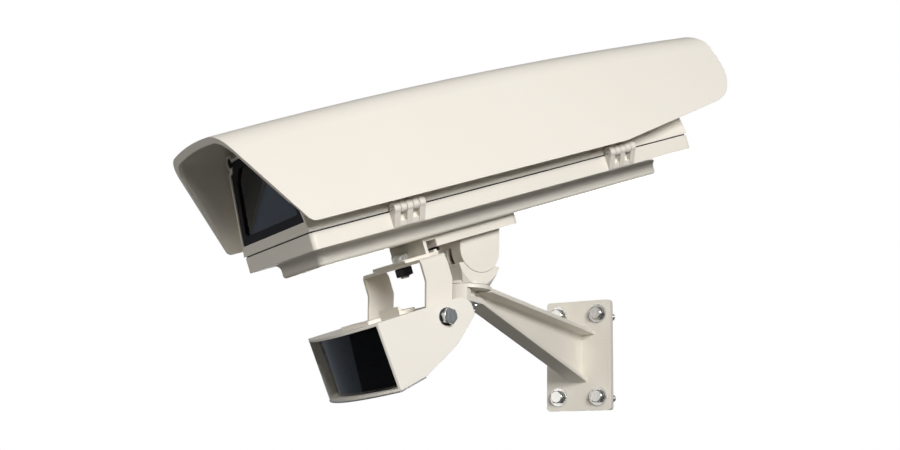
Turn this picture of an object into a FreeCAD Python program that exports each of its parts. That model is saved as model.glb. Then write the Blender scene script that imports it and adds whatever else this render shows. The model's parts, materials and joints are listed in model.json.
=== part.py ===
import FreeCAD, Part
import math
import os

V = FreeCAD.Vector

# An outdoor camera housing with a sunshield, on a cast wall bracket with a pan and tilt head,
# and an infrared lamp that hangs from the housing in its own yoke. All sizes are in millimetres.
# The origin is the centre of the wall plate's back face. The wall is the plane y = 0 and +Z is up.

# Fits and gaps between pieces
running = 0.05           # radial gap of a turning fit
apart = 0.3              # gap between curved faces that move past each other
hole_gap = 0.4           # radial gap of a bolt in a clearance hole

# Pose in which the object is drawn
pan_angle = -27.0        # turn of the head about the vertical
tilt_angle = 20.0        # nose down

# Wall bracket
plate_width = 78.0
plate_height = 120.0
plate_thickness = 6.0
plate_corner = 4.0
bolt_spacing_x = 48.0
bolt_spacing_z = 90.0
wall_bolt_r = 4.0
wall_bolt_head = 13.0
wall_bolt_head_height = 5.5
wall_bolt_reach = 30.0   # length of the bolt behind the plate
wall_bolt_neck_r = 3.6   # reduced shank, under the head and through the plate
wall_bolt_full = 1.0     # the full thickness starts this far inside the plate's back
wall_relief_r = 9.5      # shallow relief round each bolt in the plate's back
wall_relief = 1.5
wall_washer_r = 10.0
wall_washer_thickness = 2.0
arm_reach = 235.4        # from the wall to the pan axis
boss_r = 21.5
boss_top = 44.3
boss_height = 16.3
arm_top_at_plate = 26.5
arm_bottom_at_plate = -30.0
top_flange_half = 20.0
bottom_flange_half = 10.5
flange_thickness = 4.5
web_thickness = 6.0
web_fillet_at_boss = 2.0
web_fillet_at_plate = 6.0
boss_rim = 4.0           # thickness of the round table under the saddle
boss_tube_r = 7.4
boss_foot = 5.3          # thickness of the flat foot under the clamp bolt
arm_start = 10.0         # the arm's taper starts this far behind the pan axis

# Pan and tilt head, measured from the tilt axis
tilt_height = 32.6       # tilt axis above the boss
rocker_r = 21.6
rocker_half = 21.0
rocker_wall = 4.0
rocker_top = 14.4        # flat top above the tilt axis
slot_back = -20.0        # ends of the clamp slot, in degrees forward of straight down
slot_front = 105.0
saddle_half = 20.5
saddle_tip = 22.5
saddle_tip_height = -14.5
saddle_seat_edge = 16.5
saddle_foot = 15.0
saddle_disc = 3.1
spigot_r = 12.0
spigot_depth = 3.0
clamp_bolt_r = 4.0
clamp_bolt_head = 13.0
clamp_bolt_head_height = 5.3
clamp_washer_r = 9.0
clamp_washer_thickness = 1.6
curved_washer_half = 12.0
curved_washer_flat = -12.5
clamp_nut_height = 6.5

# Housing, measured from its front end on the seam between tray and cover
tray_half = 74.5
tray_length = 438.5
lip_height = 15.3
tray_corner = 4.5
keel_half = tray_half - 31.0
keel_depth = 29.5
keel_front = 16.7
keel_rear = tray_length - 25.5
keel_fillet = 7.0
keel_edge = 3.0
tray_wall = 3.3
seam_half_gap = 0.6      # half of the joint between tray and cover
gasket_width = 2.4
gasket_inset = 1.2
tilt_axis_y = 192.8
tilt_axis_z = -54.0

# Cover
cover_wall = 2.5
shoulder_half = tray_half - 19.0  # half width at the top of the leaning sides
shoulder_height = 77.0
notch_half = tray_half - 24.5  # groove between each side and its screw channel
notch_height = 79.5
channel_x = tray_half - 27.5  # screw channel along each top corner
channel_z = 86.5
channel_r = 7.5
roof_half = tray_half - 31.5
roof_height = 89.0
front_thickness = 10.0
sill_height = 10.0       # strip of the cover under the window
gasket_border = 8.0
gasket_front = 1.2       # the gasket lies this far behind the cover's front edge
gasket_thickness = 2.0
glass_gap = 0.5
glass_thickness = 4.0
clamp_thickness = 2.0
panel_thickness = 3.0
opening_foot_half = tray_half - 16.5
opening_top_half = tray_half - 28.5
opening_height = 42.0
screw_channel_r = 2.5
panel_screw_length = 14.0
clamp_plate_zs = (26.0, 62.0)
cover_screw_r = 2.5
cover_screw_x = -tray_half - 6.0  # captive cover screws, on the side away from the hinges
cover_screw_shares = (0.22, 0.78)
lug_height = 7.0

# Hinges on the +x side
hinge_x = tray_half + 6.0
hinge_z = 1.5
hinge_starts = (79.0, tray_length - 111.5)
knuckle_r = 5.2
finger_count = 5
finger_width = 6.1
finger_gap = 0.4
pin_r = 2.0
leaf_thickness = 4.0

# Sunshield, a folded and bowed sheet
shield_half = tray_half + 22.7
shield_low = 7.2
shield_lean = 22.3       # lean of the sides, in degrees
shield_sheet = 3.0
shield_crown = 111.2
shield_bow = 8.0         # fall of the crown towards each end
shield_front = -5.4
shield_rake = 0.49
shield_rear = tray_length + 73.5
shield_rear_low = tray_length - 96.5
shield_rear_rise = 21.0
crown_r = 400.0
fold_r = 28.0
spacer_r = 7.0
spacer_x = tray_half - 44.5
spacer_ys = (95.0, tray_length - 93.5)
shield_screw_r = 2.0
visor_lip = 3.5          # extra depth of the sheet's rolled front edge
visor_lip_length = 4.0

# Adaptor plate and lamp hanger under the keel
adaptor_half = 32.0
adaptor_front = 142.0
adaptor_rear = 239.0
adaptor_thickness = 6.9
hanger_sheet = 3.2
hanger_riser = 128.0     # front face of the riser
hanger_foot_front = 104.0
hanger_foot_rear = 140.0
hanger_drop = 17.5       # underside of the foot below the keel
hanger_lip = 5.2
adaptor_bolt_r = 3.0
adaptor_bolt_head = 10.0
adaptor_bolt_head_height = 4.0
adaptor_bolt_ys = (156.0, 226.8)
hanger_bolt_r = 2.5
hanger_bolt_head = 8.0
hanger_bolt_x = 19.0
hanger_bolt_y = 136.5

# Lamp yoke
yoke_half = 58.0
yoke_width = 27.0
yoke_front = 105.0
yoke_sheet = 3.0
yoke_kink = -67.5
yoke_lean = 20.0
yoke_bolt_r = 5.0
yoke_bolt_head = 16.0
yoke_bolt_head_height = 6.0
yoke_nut_height = 8.0
leg_end_r = 12.7

# Lamp
lamp_half = yoke_half + 14.0
lamp_wall = 2.3
lamp_top = -89.4
lamp_axis_y = 106.8
lamp_axis_z = -102.3
lamp_dish = 1.2          # hollow of the lamp's top between its cheeks
lamp_dish_r = 2160.0
lamp_front_bow = 16.5    # bow of the lamp's front, in plan
lamp_front_r = (lamp_half ** 2 + lamp_front_bow ** 2) / (2 * lamp_front_bow)
lamp_recess = 8.5
lamp_pane = 3.0
lamp_gasket = 1.0
lamp_ledge = 4.0
lamp_plate = 1.3
lamp_plate_screw_r = 1.5
lamp_pad_half = 28.0
lamp_pad_front = 53.0
lamp_pad_rear = 67.0
lamp_pad_rise = 2.2
lamp_clip_half = 19.0
lamp_clip_front = 91.0
lamp_clip_rear = 108.0
lamp_clip_sheet = 3.0
lamp_clip_rise = 6.6
lamp_cavity_rear = 120.0
lamp_board_y = 64.0
lamp_board_low = -138.0
lamp_board_high = -100.0
lamp_core_half = yoke_half - yoke_sheet - apart
lamp_slot_front = 76.0
lamp_slot_floor = -120.0
lamp_bolt_r = 4.0
lamp_bolt_head = 13.0
lamp_bolt_head_height = 5.5
lamp_bolt_washer = 1.5
lamp_bolt_length = 26.0
emitter_r = 3.0
emitter_rows = 2
emitter_columns = 7
emitter_pitch_x = 15.0
emitter_pitch_z = 18.0

# Inside the housing
slide_half = 28.0
slide_front = 60.0
slide_rear = tray_length - 118.5
slide_sheet = 2.5
slide_top = -9.0
post_r = 5.0
post_x = 20.0
post_ys = (slide_front + 15.0, slide_rear - 15.0)
board_rear = tray_length - 38.5
board_front = board_rear - 62.0
board_half = 34.0
board_thickness = 1.6
board_top = -11.0
heater_front = 26.0
heater_rear = 56.0
heater_half = 33.0
gland_xs = (-30.0, 0.0, 30.0)
gland_z = 20.0
gland_r = 6.0
gland_hex = 16.0


def in_space(plane, a, b, level):
    if plane == "yz":
        return V(level, a, b)
    if plane == "xz":
        return V(a, level, b)
    return V(a, b, level)


# Closed wire through corners (a, b) or (a, b, radius), where each radius rounds its corner
def outline(plane, corners, level):
    points = [in_space(plane, corner[0], corner[1], level) for corner in corners]
    starts = []
    arcs = []
    ends = []
    for i, corner in enumerate(corners):
        here = points[i]
        radius = corner[2] if len(corner) > 2 else 0
        if radius == 0:
            starts.append(here)
            arcs.append(None)
            ends.append(here)
            continue
        back = (points[i - 1] - here).normalize()
        on = (points[(i + 1) % len(points)] - here).normalize()
        half_turn = back.getAngle(on) / 2
        reach = radius / math.tan(half_turn)
        middle = here + (back + on).normalize() * (radius / math.sin(half_turn) - radius)
        starts.append(here + back * reach)
        ends.append(here + on * reach)
        arcs.append(Part.Arc(starts[-1], middle, ends[-1]).toShape())
    edges = []
    for i, end in enumerate(ends):
        if arcs[i]:
            edges.append(arcs[i])
        start = starts[(i + 1) % len(starts)]
        if end.distanceToPoint(start) > 1e-4:
            edges.append(Part.makeLine(end, start))
    return Part.Wire(edges)


# Solid with this outline, from low to high along the axis across its plane
def slab(plane, corners, low, high):
    face = Part.Face(outline(plane, corners, low))
    return face.extrude(in_space(plane, 0, 0, high - low))


def rectangle(a0, a1, b0, b1, radius=0):
    return [(a0, b0, radius), (a1, b0, radius), (a1, b1, radius), (a0, b1, radius)]


def block(x0, x1, y0, y1, z0, z1, radius=0):
    return slab("xy", rectangle(x0, x1, y0, y1, radius), z0, z1)


def rod(radius, start, end):
    path = end - start
    return Part.makeCylinder(radius, path.Length, start, path)


def fused(shapes):
    return shapes[0].multiFuse(shapes[1:]).removeSplitter()


def cut_all(shape, tools):
    return shape.cut(Part.makeCompound(tools)).removeSplitter()


# Hexagonal prism whose free end has its corners turned off
def hexagon(across, height, base, direction):
    corner_r = across / math.sqrt(3)
    ring = []
    for i in range(7):
        angle = math.radians(60 * i + 30)
        ring.append(V(corner_r * math.cos(angle), corner_r * math.sin(angle), 0))
    prism = Part.Face(Part.makePolygon(ring)).extrude(V(0, 0, height))
    cap = Part.makeCone(corner_r * 1.45, across / 2 * 0.96, height)
    prism = prism.common(cap)
    prism.Placement = FreeCAD.Placement(base, FreeCAD.Rotation(V(0, 0, 1), direction))
    return prism


# Hex bolt that seats at base, with its shank along direction
def hex_bolt(across, head_height, shank_r, length, base, direction):
    head = hexagon(across, head_height, base, direction * -1)
    shank = rod(shank_r, base, base + direction * length)
    return head.fuse(shank).removeSplitter()


def washer(outer_r, hole_r, thickness, base, direction):
    ring = Part.makeCylinder(outer_r, thickness, base, direction)
    return ring.cut(Part.makeCylinder(hole_r, thickness, base, direction))


def wall_bolt_points():
    points = []
    for x in (-bolt_spacing_x / 2, bolt_spacing_x / 2):
        for z in (-bolt_spacing_z / 2, bolt_spacing_z / 2):
            points.append(V(x, 0, z))
    return points


# I-section of the arm at one distance from the wall, between its top and bottom heights
def arm_section(y, top, bottom, fillet):
    web = web_thickness / 2
    under = top - flange_thickness
    over = bottom + flange_thickness
    right = [(bottom_flange_half, bottom, 1), (bottom_flange_half, over, 1), (web, over, fillet),
             (web, under, fillet), (top_flange_half, under, 1), (top_flange_half, top, 1)]
    left = [(-corner[0], corner[1], corner[2]) for corner in reversed(right)]
    return outline("xz", right + left, y)


# Round table, a bolt tube with a web each way, and a flat foot; the arm's taper starts behind them
def arm_end():
    axis_y = -arm_reach
    bottom = boss_top - boss_height
    table = Part.makeCylinder(boss_r, boss_rim, V(0, axis_y, boss_top - boss_rim))
    table = table.makeFillet(1.2, table.Edges[:1])
    behind = axis_y + arm_start
    flange = block(-top_flange_half, top_flange_half, axis_y + 7, behind + 1, boss_top - boss_rim, boss_top - 0.4)
    round_core = Part.makeCylinder(boss_r, boss_height - 1, V(0, axis_y, bottom))
    narrow = block(-bottom_flange_half, bottom_flange_half, axis_y - 30, axis_y, bottom, boss_top)
    wall = round_core.common(narrow).cut(Part.makeCylinder(boss_r - web_thickness, 50, V(0, axis_y, bottom - 1)))
    foot = round_core.common(block(-bottom_flange_half, bottom_flange_half, axis_y - 30, axis_y, bottom, bottom + boss_foot))
    foot_rear = block(-bottom_flange_half, bottom_flange_half, axis_y - 1, behind + 1, bottom, bottom + boss_foot)
    web = block(-web_thickness / 2, web_thickness / 2, axis_y - boss_r + 2, behind + 1, bottom + 1, boss_top - 1)
    tube = Part.makeCylinder(boss_tube_r, boss_height - 2, V(0, axis_y, bottom + 1))
    return [table, flange, wall, foot, foot_rear, web, tube]


def wall_bracket():
    corners = rectangle(-plate_width / 2, plate_width / 2, -plate_height / 2, plate_height / 2, plate_corner)
    plate = slab("xz", corners, -plate_thickness, 0)
    boss_bottom = boss_top - boss_height
    axis_foot = V(0, -arm_reach, boss_bottom)
    share = arm_start / arm_reach
    top_at_start = boss_top - 0.4 - (boss_top - arm_top_at_plate) * share
    at_boss = arm_section(-arm_reach + arm_start, top_at_start, boss_bottom, web_fillet_at_boss)
    at_plate = arm_section(-plate_thickness / 2, arm_top_at_plate, arm_bottom_at_plate, web_fillet_at_plate)
    arm = Part.makeLoft([at_boss, at_plate], True, True)
    casting = fused([plate, arm] + arm_end())
    tools = [rod(clamp_bolt_r + hole_gap, axis_foot - V(0, 0, 1), axis_foot + V(0, 0, boss_height + 1)),
             rod(spigot_r + running, V(0, -arm_reach, boss_top - spigot_depth - 0.2), V(0, -arm_reach, boss_top + 1))]
    for point in wall_bolt_points():
        tools.append(rod(wall_bolt_r + hole_gap, point - V(0, plate_thickness + 1, 0), point + V(0, 1, 0)))
        tools.append(rod(wall_relief_r, point - V(0, wall_relief, 0), point + V(0, 1, 0)))
    return cut_all(casting, tools)


def wall_bolts():
    seat = plate_thickness + wall_washer_thickness
    bolts = []
    for point in wall_bolt_points():
        neck = hex_bolt(wall_bolt_head, wall_bolt_head_height, wall_bolt_neck_r, seat, point - V(0, seat, 0), V(0, 1, 0))
        full = rod(wall_bolt_r, point - V(0, wall_bolt_full, 0), point + V(0, wall_bolt_reach, 0))
        bolts.append(neck.fuse(full))
    return Part.makeCompound(bolts)


def wall_washers():
    base = plate_thickness + wall_washer_thickness
    rings = []
    for point in wall_bolt_points():
        rings.append(washer(wall_washer_r, wall_bolt_r + hole_gap, wall_washer_thickness,
                            point - V(0, base, 0), V(0, 1, 0)))
    return Part.makeCompound(rings)


# The saddle's pieces are measured from the tilt axis, with z down to the boss
def pan_saddle():
    foot = -tilt_height
    profile = [(-saddle_foot, foot), (saddle_foot, foot), (saddle_tip, saddle_tip_height, 1),
               (saddle_seat_edge, saddle_tip_height + 1), (-saddle_seat_edge, saddle_tip_height + 1),
               (-saddle_tip, saddle_tip_height, 1)]
    wings = slab("yz", profile, -saddle_half, saddle_half)
    rise = saddle_tip_height + 2 - foot
    flare = Part.makeCone(boss_r, boss_r + rise * 0.62, rise, V(0, 0, foot))
    disc = Part.makeCylinder(boss_r, saddle_disc, V(0, 0, foot))
    disc = disc.makeFillet(1.2, disc.Edges[:1])
    spigot = Part.makeCylinder(spigot_r, spigot_depth + 1, V(0, 0, foot - spigot_depth))
    body = fused([wings.common(flare), disc, spigot])
    seat = rod(rocker_r + apart, V(-50, 0, 0), V(50, 0, 0))
    bore = rod(clamp_bolt_r + hole_gap, V(0, 0, foot - 10), V(0, 0, 0))
    return cut_all(body, [seat, bore])


def clamp_seat_z():
    return -tilt_height - boss_height - running - clamp_washer_thickness


def clamp_washer():
    return washer(clamp_washer_r, clamp_bolt_r + running, clamp_washer_thickness, V(0, 0, clamp_seat_z()), V(0, 0, 1))


def clamp_bolt():
    top = curved_washer_flat + clamp_nut_height + 1.5
    return hex_bolt(clamp_bolt_head, clamp_bolt_head_height, clamp_bolt_r, top - clamp_seat_z(),
                    V(0, 0, clamp_seat_z()), V(0, 0, 1))


def curved_washer():
    half = curved_washer_half
    round_bar = rod(rocker_r - rocker_wall - apart, V(-half, 0, 0), V(half, 0, 0))
    lower = block(-half, half, -11, 11, -rocker_r, curved_washer_flat, 2)
    bore = rod(clamp_bolt_r + running, V(0, 0, -40), V(0, 0, 0))
    return round_bar.common(lower).cut(bore)


def clamp_nut():
    nut = hexagon(clamp_bolt_head, clamp_nut_height, V(0, 0, curved_washer_flat), V(0, 0, 1))
    return nut.cut(rod(clamp_bolt_r, V(0, 0, -40), V(0, 0, 0)))


# From here on, pieces are in the housing's frame: x across, y back from the front end, z up from the seam
def tilt_point(x, y, z):
    return V(x, tilt_axis_y + y, tilt_axis_z + z)


# Round bar below, with straight sides that are upright when the housing leans by the drawn angle
def half_moon(radius, top, x0, x1):
    turn = math.radians(tilt_angle)
    across = (math.cos(turn), -math.sin(turn))
    up = (math.sin(turn), math.cos(turn))
    bar = rod(radius, tilt_point(x0, 0, 0), tilt_point(x1, 0, 0))
    below = block(x0, x1, tilt_axis_y - radius, tilt_axis_y + radius, tilt_axis_z - radius, tilt_axis_z + min(top, radius))
    corners = []
    for side in (-1, 1):
        foot = (side * across[0] * radius, side * across[1] * radius)
        rise = (top - foot[1]) / up[1]
        pair = [foot, (foot[0] + up[0] * rise, top)]
        corners += pair if side < 0 else reversed(pair)
    cheek = slab("yz", [(tilt_axis_y + y, tilt_axis_z + z) for y, z in corners], x0, x1)
    return fused([bar.common(below), cheek])


def slot_direction(angle):
    turn = math.radians(angle)
    return V(0, -math.sin(turn), -math.cos(turn))


def tilt_rocker():
    shell = half_moon(rocker_r, rocker_top, -rocker_half, rocker_half)
    inner_half = rocker_half - rocker_wall
    hollow = half_moon(rocker_r - rocker_wall, rocker_top - rocker_wall, -inner_half, inner_half)
    slot_half = clamp_bolt_r + hole_gap
    centre = tilt_point(0, 0, 0)
    far = rocker_r + 10
    corners = [(centre.y, centre.z)]
    for step in range(5):
        way = slot_direction(slot_back + (slot_front - slot_back) * step / 4)
        corners.append((centre.y + way.y * far * 1.2, centre.z + way.z * far * 1.2))
    tools = [slab("yz", corners, -slot_half, slot_half)]
    for angle in (slot_back, slot_front):
        tools.append(rod(slot_half, centre, centre + slot_direction(angle) * far))
    for x, y in rocker_screw_points():
        tools.append(rod(adaptor_bolt_r, V(x, y, centre.z + rocker_top - rocker_wall - 1), V(x, y, 0)))
    return cut_all(shell, [hollow] + tools)


def rocker_screw_points():
    reach = rocker_half - 8
    return [(x, tilt_axis_y + y) for x in (-reach, reach) for y in (-reach, reach)]


def adaptor_bolt_points():
    return [(0, y) for y in adaptor_bolt_ys]


def adaptor_top():
    return -keel_depth - hanger_sheet


def adaptor_plate():
    top = adaptor_top()
    corners = [(-adaptor_half, adaptor_front, 1.5), (adaptor_half, adaptor_front, 1.5),
               (adaptor_half, adaptor_rear, 9), (-adaptor_half, adaptor_rear, 9)]
    plate = slab("xy", corners, tilt_axis_z + rocker_top, top)
    tools = []
    for x, y in adaptor_bolt_points():
        tools.append(rod(adaptor_bolt_r + hole_gap, V(x, y, top - 20), V(x, y, top + 1)))
    for x, y in rocker_screw_points():
        tools.append(rod(adaptor_bolt_r, V(x, y, top - 20), V(x, y, top + 1)))
        tools.append(Part.makeCone(adaptor_bolt_r, adaptor_bolt_r * 2, adaptor_bolt_r, V(x, y, top - adaptor_bolt_r)))
    return cut_all(plate, tools)


def rocker_screws():
    top = adaptor_top()
    screws = []
    for x, y in rocker_screw_points():
        shank = rod(adaptor_bolt_r, V(x, y, tilt_axis_z + rocker_top - rocker_wall), V(x, y, top - 1))
        head = Part.makeCone(adaptor_bolt_r, adaptor_bolt_r * 2, adaptor_bolt_r, V(x, y, top - adaptor_bolt_r))
        socket = hexagon(4, 1.8, V(x, y, top - 1.8), V(0, 0, 1))
        screws.append(shank.fuse(head).removeSplitter().cut(socket))
    return Part.makeCompound(screws)


def tray_floor():
    return -keel_depth + tray_wall


def adaptor_bolts():
    seat = tilt_axis_z + rocker_top
    bolts = []
    for x, y in adaptor_bolt_points():
        bolts.append(hex_bolt(adaptor_bolt_head, adaptor_bolt_head_height, adaptor_bolt_r, tray_floor() + 4 - seat, V(x, y, seat), V(0, 0, 1)))
    return Part.makeCompound(bolts)


def hanger_bolt_points():
    return [(x, hanger_bolt_y) for x in (-hanger_bolt_x, hanger_bolt_x)]


# Every bolt that screws into the tray, with its radius
def tray_bolt_points():
    points = [(x, y, adaptor_bolt_r) for x, y in adaptor_bolt_points()]
    return points + [(x, y, hanger_bolt_r) for x, y in hanger_bolt_points()]


def hanger_bolts():
    seat = -keel_depth - hanger_sheet
    bolts = []
    for x, y in hanger_bolt_points():
        bolts.append(hex_bolt(hanger_bolt_head, 3.5, hanger_bolt_r, tray_floor() + 4 - seat, V(x, y, seat), V(0, 0, 1)))
    return Part.makeCompound(bolts)


def yoke_axis_y():
    return yoke_front + yoke_width / 2


# Section with a top flange under the keel, a riser, and a foot whose rear edge turns up
def lamp_hanger():
    top = -keel_depth
    foot = top - hanger_drop
    sheet = hanger_sheet
    corners = [(adaptor_rear - 4, top), (adaptor_rear - 4, top - sheet), (hanger_riser + sheet, top - sheet),
               (hanger_riser + sheet, foot + sheet), (hanger_foot_rear - sheet, foot + sheet),
               (hanger_foot_rear - sheet, foot + hanger_lip), (hanger_foot_rear, foot + hanger_lip),
               (hanger_foot_rear, foot, 1), (hanger_foot_front, foot, 1), (hanger_foot_front, foot + sheet, 1),
               (hanger_riser, foot + sheet, 1), (hanger_riser, top, 1)]
    strap = slab("yz", corners, -adaptor_half, adaptor_half)
    tools = [rod(yoke_bolt_r + running, V(0, yoke_axis_y(), foot - 1), V(0, yoke_axis_y(), foot + sheet + 1))]
    for x, y, radius in tray_bolt_points():
        tools.append(rod(radius + hole_gap, V(x, y, top - sheet - 1), V(x, y, top + 1)))
    return cut_all(strap, tools)


def yoke_bolt():
    seat = -keel_depth - hanger_drop + hanger_sheet
    reach = hanger_sheet + yoke_sheet + yoke_nut_height + 2
    return hex_bolt(yoke_bolt_head, yoke_bolt_head_height, yoke_bolt_r, reach, V(0, yoke_axis_y(), seat), V(0, 0, -1))


def yoke_nut():
    seat = -keel_depth - hanger_drop - yoke_sheet - 2 * running
    nut = hexagon(yoke_bolt_head, yoke_nut_height, V(0, yoke_axis_y(), seat), V(0, 0, -1))
    return nut.cut(rod(yoke_bolt_r, V(0, yoke_axis_y(), seat + 1), V(0, yoke_axis_y(), seat - 20)))


def base_tray():
    lip = block(-tray_half, tray_half, 0, tray_length, -lip_height, -seam_half_gap, tray_corner)
    keel = block(-keel_half, keel_half, keel_front, keel_rear, -keel_depth, -lip_height + 1, 6)
    body = fused([lip, keel])
    below = [edge for edge in body.Edges if abs(edge.BoundBox.ZMin + lip_height) < 0.01
             and abs(edge.BoundBox.ZMax + lip_height) < 0.01 and abs(edge.BoundBox.XMax) < keel_half + 1
             and abs(edge.BoundBox.XMin) < keel_half + 1]
    body = body.makeFillet(keel_fillet, below)
    rim = [edge for edge in body.Edges if abs(edge.BoundBox.ZMax + keel_depth) < 0.01]
    body = body.makeFillet(keel_edge, rim)
    wall = tray_wall
    hollow = block(-tray_half + wall, tray_half - wall, wall, tray_length - wall, -lip_height + wall, 1, 2)
    trough = block(-keel_half + wall, keel_half - wall, keel_front + wall, keel_rear - wall, tray_floor(), 0, 3)
    body = cut_all(body, [hollow, trough])
    pieces = [body, rear_upstand()] + [base_hinge_leaf(start) for start in hinge_starts]
    pieces += [tray_lug(y) for y in cover_screw_ys()]
    for x, y, radius in tray_bolt_points():
        pieces.append(rod(radius + 3, V(x, y, tray_floor() - 0.5), V(x, y, tray_floor() + 4)))
    body = fused(pieces)
    tools = []
    for x, y, radius in tray_bolt_points():
        tools.append(rod(radius, V(x, y, -keel_depth - 1), V(x, y, tray_floor() + 5)))
    for x in gland_xs:
        tools.append(rod(gland_r, V(x, tray_length - 10, gland_z), V(x, tray_length + 5, gland_z)))
    for y in cover_screw_ys():
        tools.append(rod(cover_screw_r + 0.9, V(cover_screw_x, y, -30), V(cover_screw_x, y, 5)))
    return cut_all(body, tools)


# Panel on the tray's rear edge which carries the cable glands and closes the notch in the cover
def rear_upstand():
    lower = -lip_height + tray_wall
    slope = (opening_foot_half - opening_top_half) / opening_height
    foot = opening_foot_half - apart
    top = opening_height - apart
    corners = [(-foot, lower), (foot, lower), (foot, 0), (foot - slope * top, top, 4),
               (-foot + slope * top, top, 4), (-foot, 0)]
    return slab("xz", corners, tray_length - tray_wall, tray_length)


def finger_span(start, index):
    pitch = finger_width + finger_gap
    return start + index * pitch, start + index * pitch + finger_width


# Rounded end of a finger about the hinge axis, with a web that runs to an edge of the housing
def finger(y0, y1, web):
    knuckle = Part.makeCylinder(knuckle_r, y1 - y0, V(hinge_x, y0, hinge_z), V(0, 1, 0))
    return slab("xz", web, y0, y1).fuse(knuckle).removeSplitter()


def base_hinge_leaf(start):
    side = tray_half - 0.5
    foot = -lip_height + 0.6
    web = [(side, foot), (side + 1.6, foot), (hinge_x + knuckle_r - 0.2, hinge_z - 1),
           (hinge_x, hinge_z + knuckle_r - 1), (side, hinge_z - 3)]
    length = finger_span(start, finger_count - 1)[1]
    bar = slab("xz", [(side, foot), (side + 1.6, foot), (side + 3.6, foot + 4.5), (side, foot + 4.5)], start, length)
    pieces = [bar]
    for index in range(0, finger_count, 2):
        pieces.append(finger(*finger_span(start, index), web))
    leaf = fused(pieces)
    return leaf.cut(rod(pin_r, V(hinge_x, start - 5, hinge_z), V(hinge_x, length + 5, hinge_z)))


def cover_hinge_fingers(start):
    side = tray_half - 1.5
    web = [(side, 3), (tray_half + 1, 2), (hinge_x, hinge_z - knuckle_r + 1), (hinge_x + 2, hinge_z + knuckle_r - 1),
           (side - 2, 15)]
    fingers = []
    for index in range(1, finger_count, 2):
        y0, y1 = finger_span(start, index)
        piece = finger(y0, y1, web)
        hole = rod(pin_r + running, V(hinge_x, y0 - 1, hinge_z), V(hinge_x, y1 + 1, hinge_z))
        fingers.append(piece.cut(hole))
    return fingers


def hinge_pins():
    pins = []
    for start in hinge_starts:
        end = finger_span(start, finger_count - 1)[1]
        pins.append(rod(pin_r, V(hinge_x, start - 0.8, hinge_z), V(hinge_x, end + 0.8, hinge_z)))
    return Part.makeCompound(pins)


def cover_screw_ys():
    return [tray_length * share for share in cover_screw_shares]


def lug(y, low, high, side):
    corners = [(cover_screw_x - 6, y - 7, 5), (side, y - 11), (side, y + 11), (cover_screw_x - 6, y + 7, 5)]
    return slab("xy", corners, low, high)


def tray_lug(y):
    return lug(y, -11, -seam_half_gap, -tray_half + 1)


def seal_gasket():
    high = seam_half_gap - running
    outer = block(-tray_half + gasket_inset, tray_half - gasket_inset, gasket_inset, tray_length - gasket_inset,
                  -seam_half_gap, high, tray_corner - gasket_inset)
    inset = gasket_inset + gasket_width
    inner = block(-tray_half + inset, tray_half - inset, inset, tray_length - inset, -seam_half_gap, high, 1)
    ring = outer.cut(inner)
    gap = block(-opening_foot_half - 1, opening_foot_half + 1, tray_length - tray_wall - 1, tray_length, -1, 1)
    return ring.cut(gap)


# Half width of the cover's side wall at a height, with the wall moved inwards by an inset
def side_half(z, inset):
    lean = (tray_half - shoulder_half) / shoulder_height
    return tray_half - lean * z - inset * math.sqrt(1 + lean * lean)


# Leaning body of the cover without its screw channels, moved inwards by an inset
def cover_body(inset, foot, y0, y1):
    shoulder = shoulder_height - inset * 0.6
    notch = notch_height - inset
    roof = roof_height - inset
    right = [(side_half(foot, inset), foot), (side_half(shoulder, inset), shoulder, 1.5),
             (notch_half - inset, notch, 1), (roof_half - inset * 0.5, roof, 1)]
    return slab("xz", right + [(-corner[0],) + corner[1:] for corner in reversed(right)], y0, y1)


def screw_channels(radius, y0, y1):
    return [rod(radius, V(x, y0, channel_z), V(x, y1, channel_z)) for x in (-channel_x, channel_x)]


# Full outline of the cover with its two screw channels, moved inwards by an inset
def cover_prism(inset, foot, y0, y1):
    return fused([cover_body(inset, foot, y0, y1)] + screw_channels(channel_r - inset, y0, y1))


# Clear part of the window, inside the border of its gasket
def window_slab(inset, y0, y1):
    low = sill_height + inset
    shoulder = shoulder_height - 2
    edge = cover_wall + inset
    top = roof_height - edge
    right = [(side_half(low, edge), low, 3), (side_half(shoulder, edge), shoulder - inset, 3),
             (roof_half - edge, top, 3)]
    return slab("xz", right + [(-corner[0],) + corner[1:] for corner in reversed(right)], y0, y1)


def channel_points():
    return [(-channel_x, channel_z), (channel_x, channel_z)]


def top_cover():
    rear = tray_length - panel_thickness
    shell = cover_prism(0, seam_half_gap, 0, rear)
    hollow = cover_body(cover_wall, -5, front_thickness, rear + 1).cut(
        Part.makeCompound(screw_channels(channel_r, front_thickness, rear + 1)))
    window = cover_prism(cover_wall, sill_height, -1, front_thickness + 1)
    body = cut_all(shell, [hollow, window])
    pieces = [body]
    for start in hinge_starts:
        pieces += cover_hinge_fingers(start)
    pieces += [lug(y, seam_half_gap, lug_height, -tray_half + 2.5) for y in cover_screw_ys()]
    body = fused(pieces)
    tools = []
    for x, z in channel_points():
        tools.append(rod(screw_channel_r, V(x, rear - panel_screw_length, z), V(x, rear + 1, z)))
    for y in cover_screw_ys():
        tools.append(rod(cover_screw_r + running, V(cover_screw_x, y, -5), V(cover_screw_x, y, lug_height + 5)))
    for x, y in spacer_points():
        tools.append(rod(shield_screw_r, V(x, y, roof_height - 10), V(x, y, roof_height + 10)))
    return cut_all(body, tools)


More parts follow.
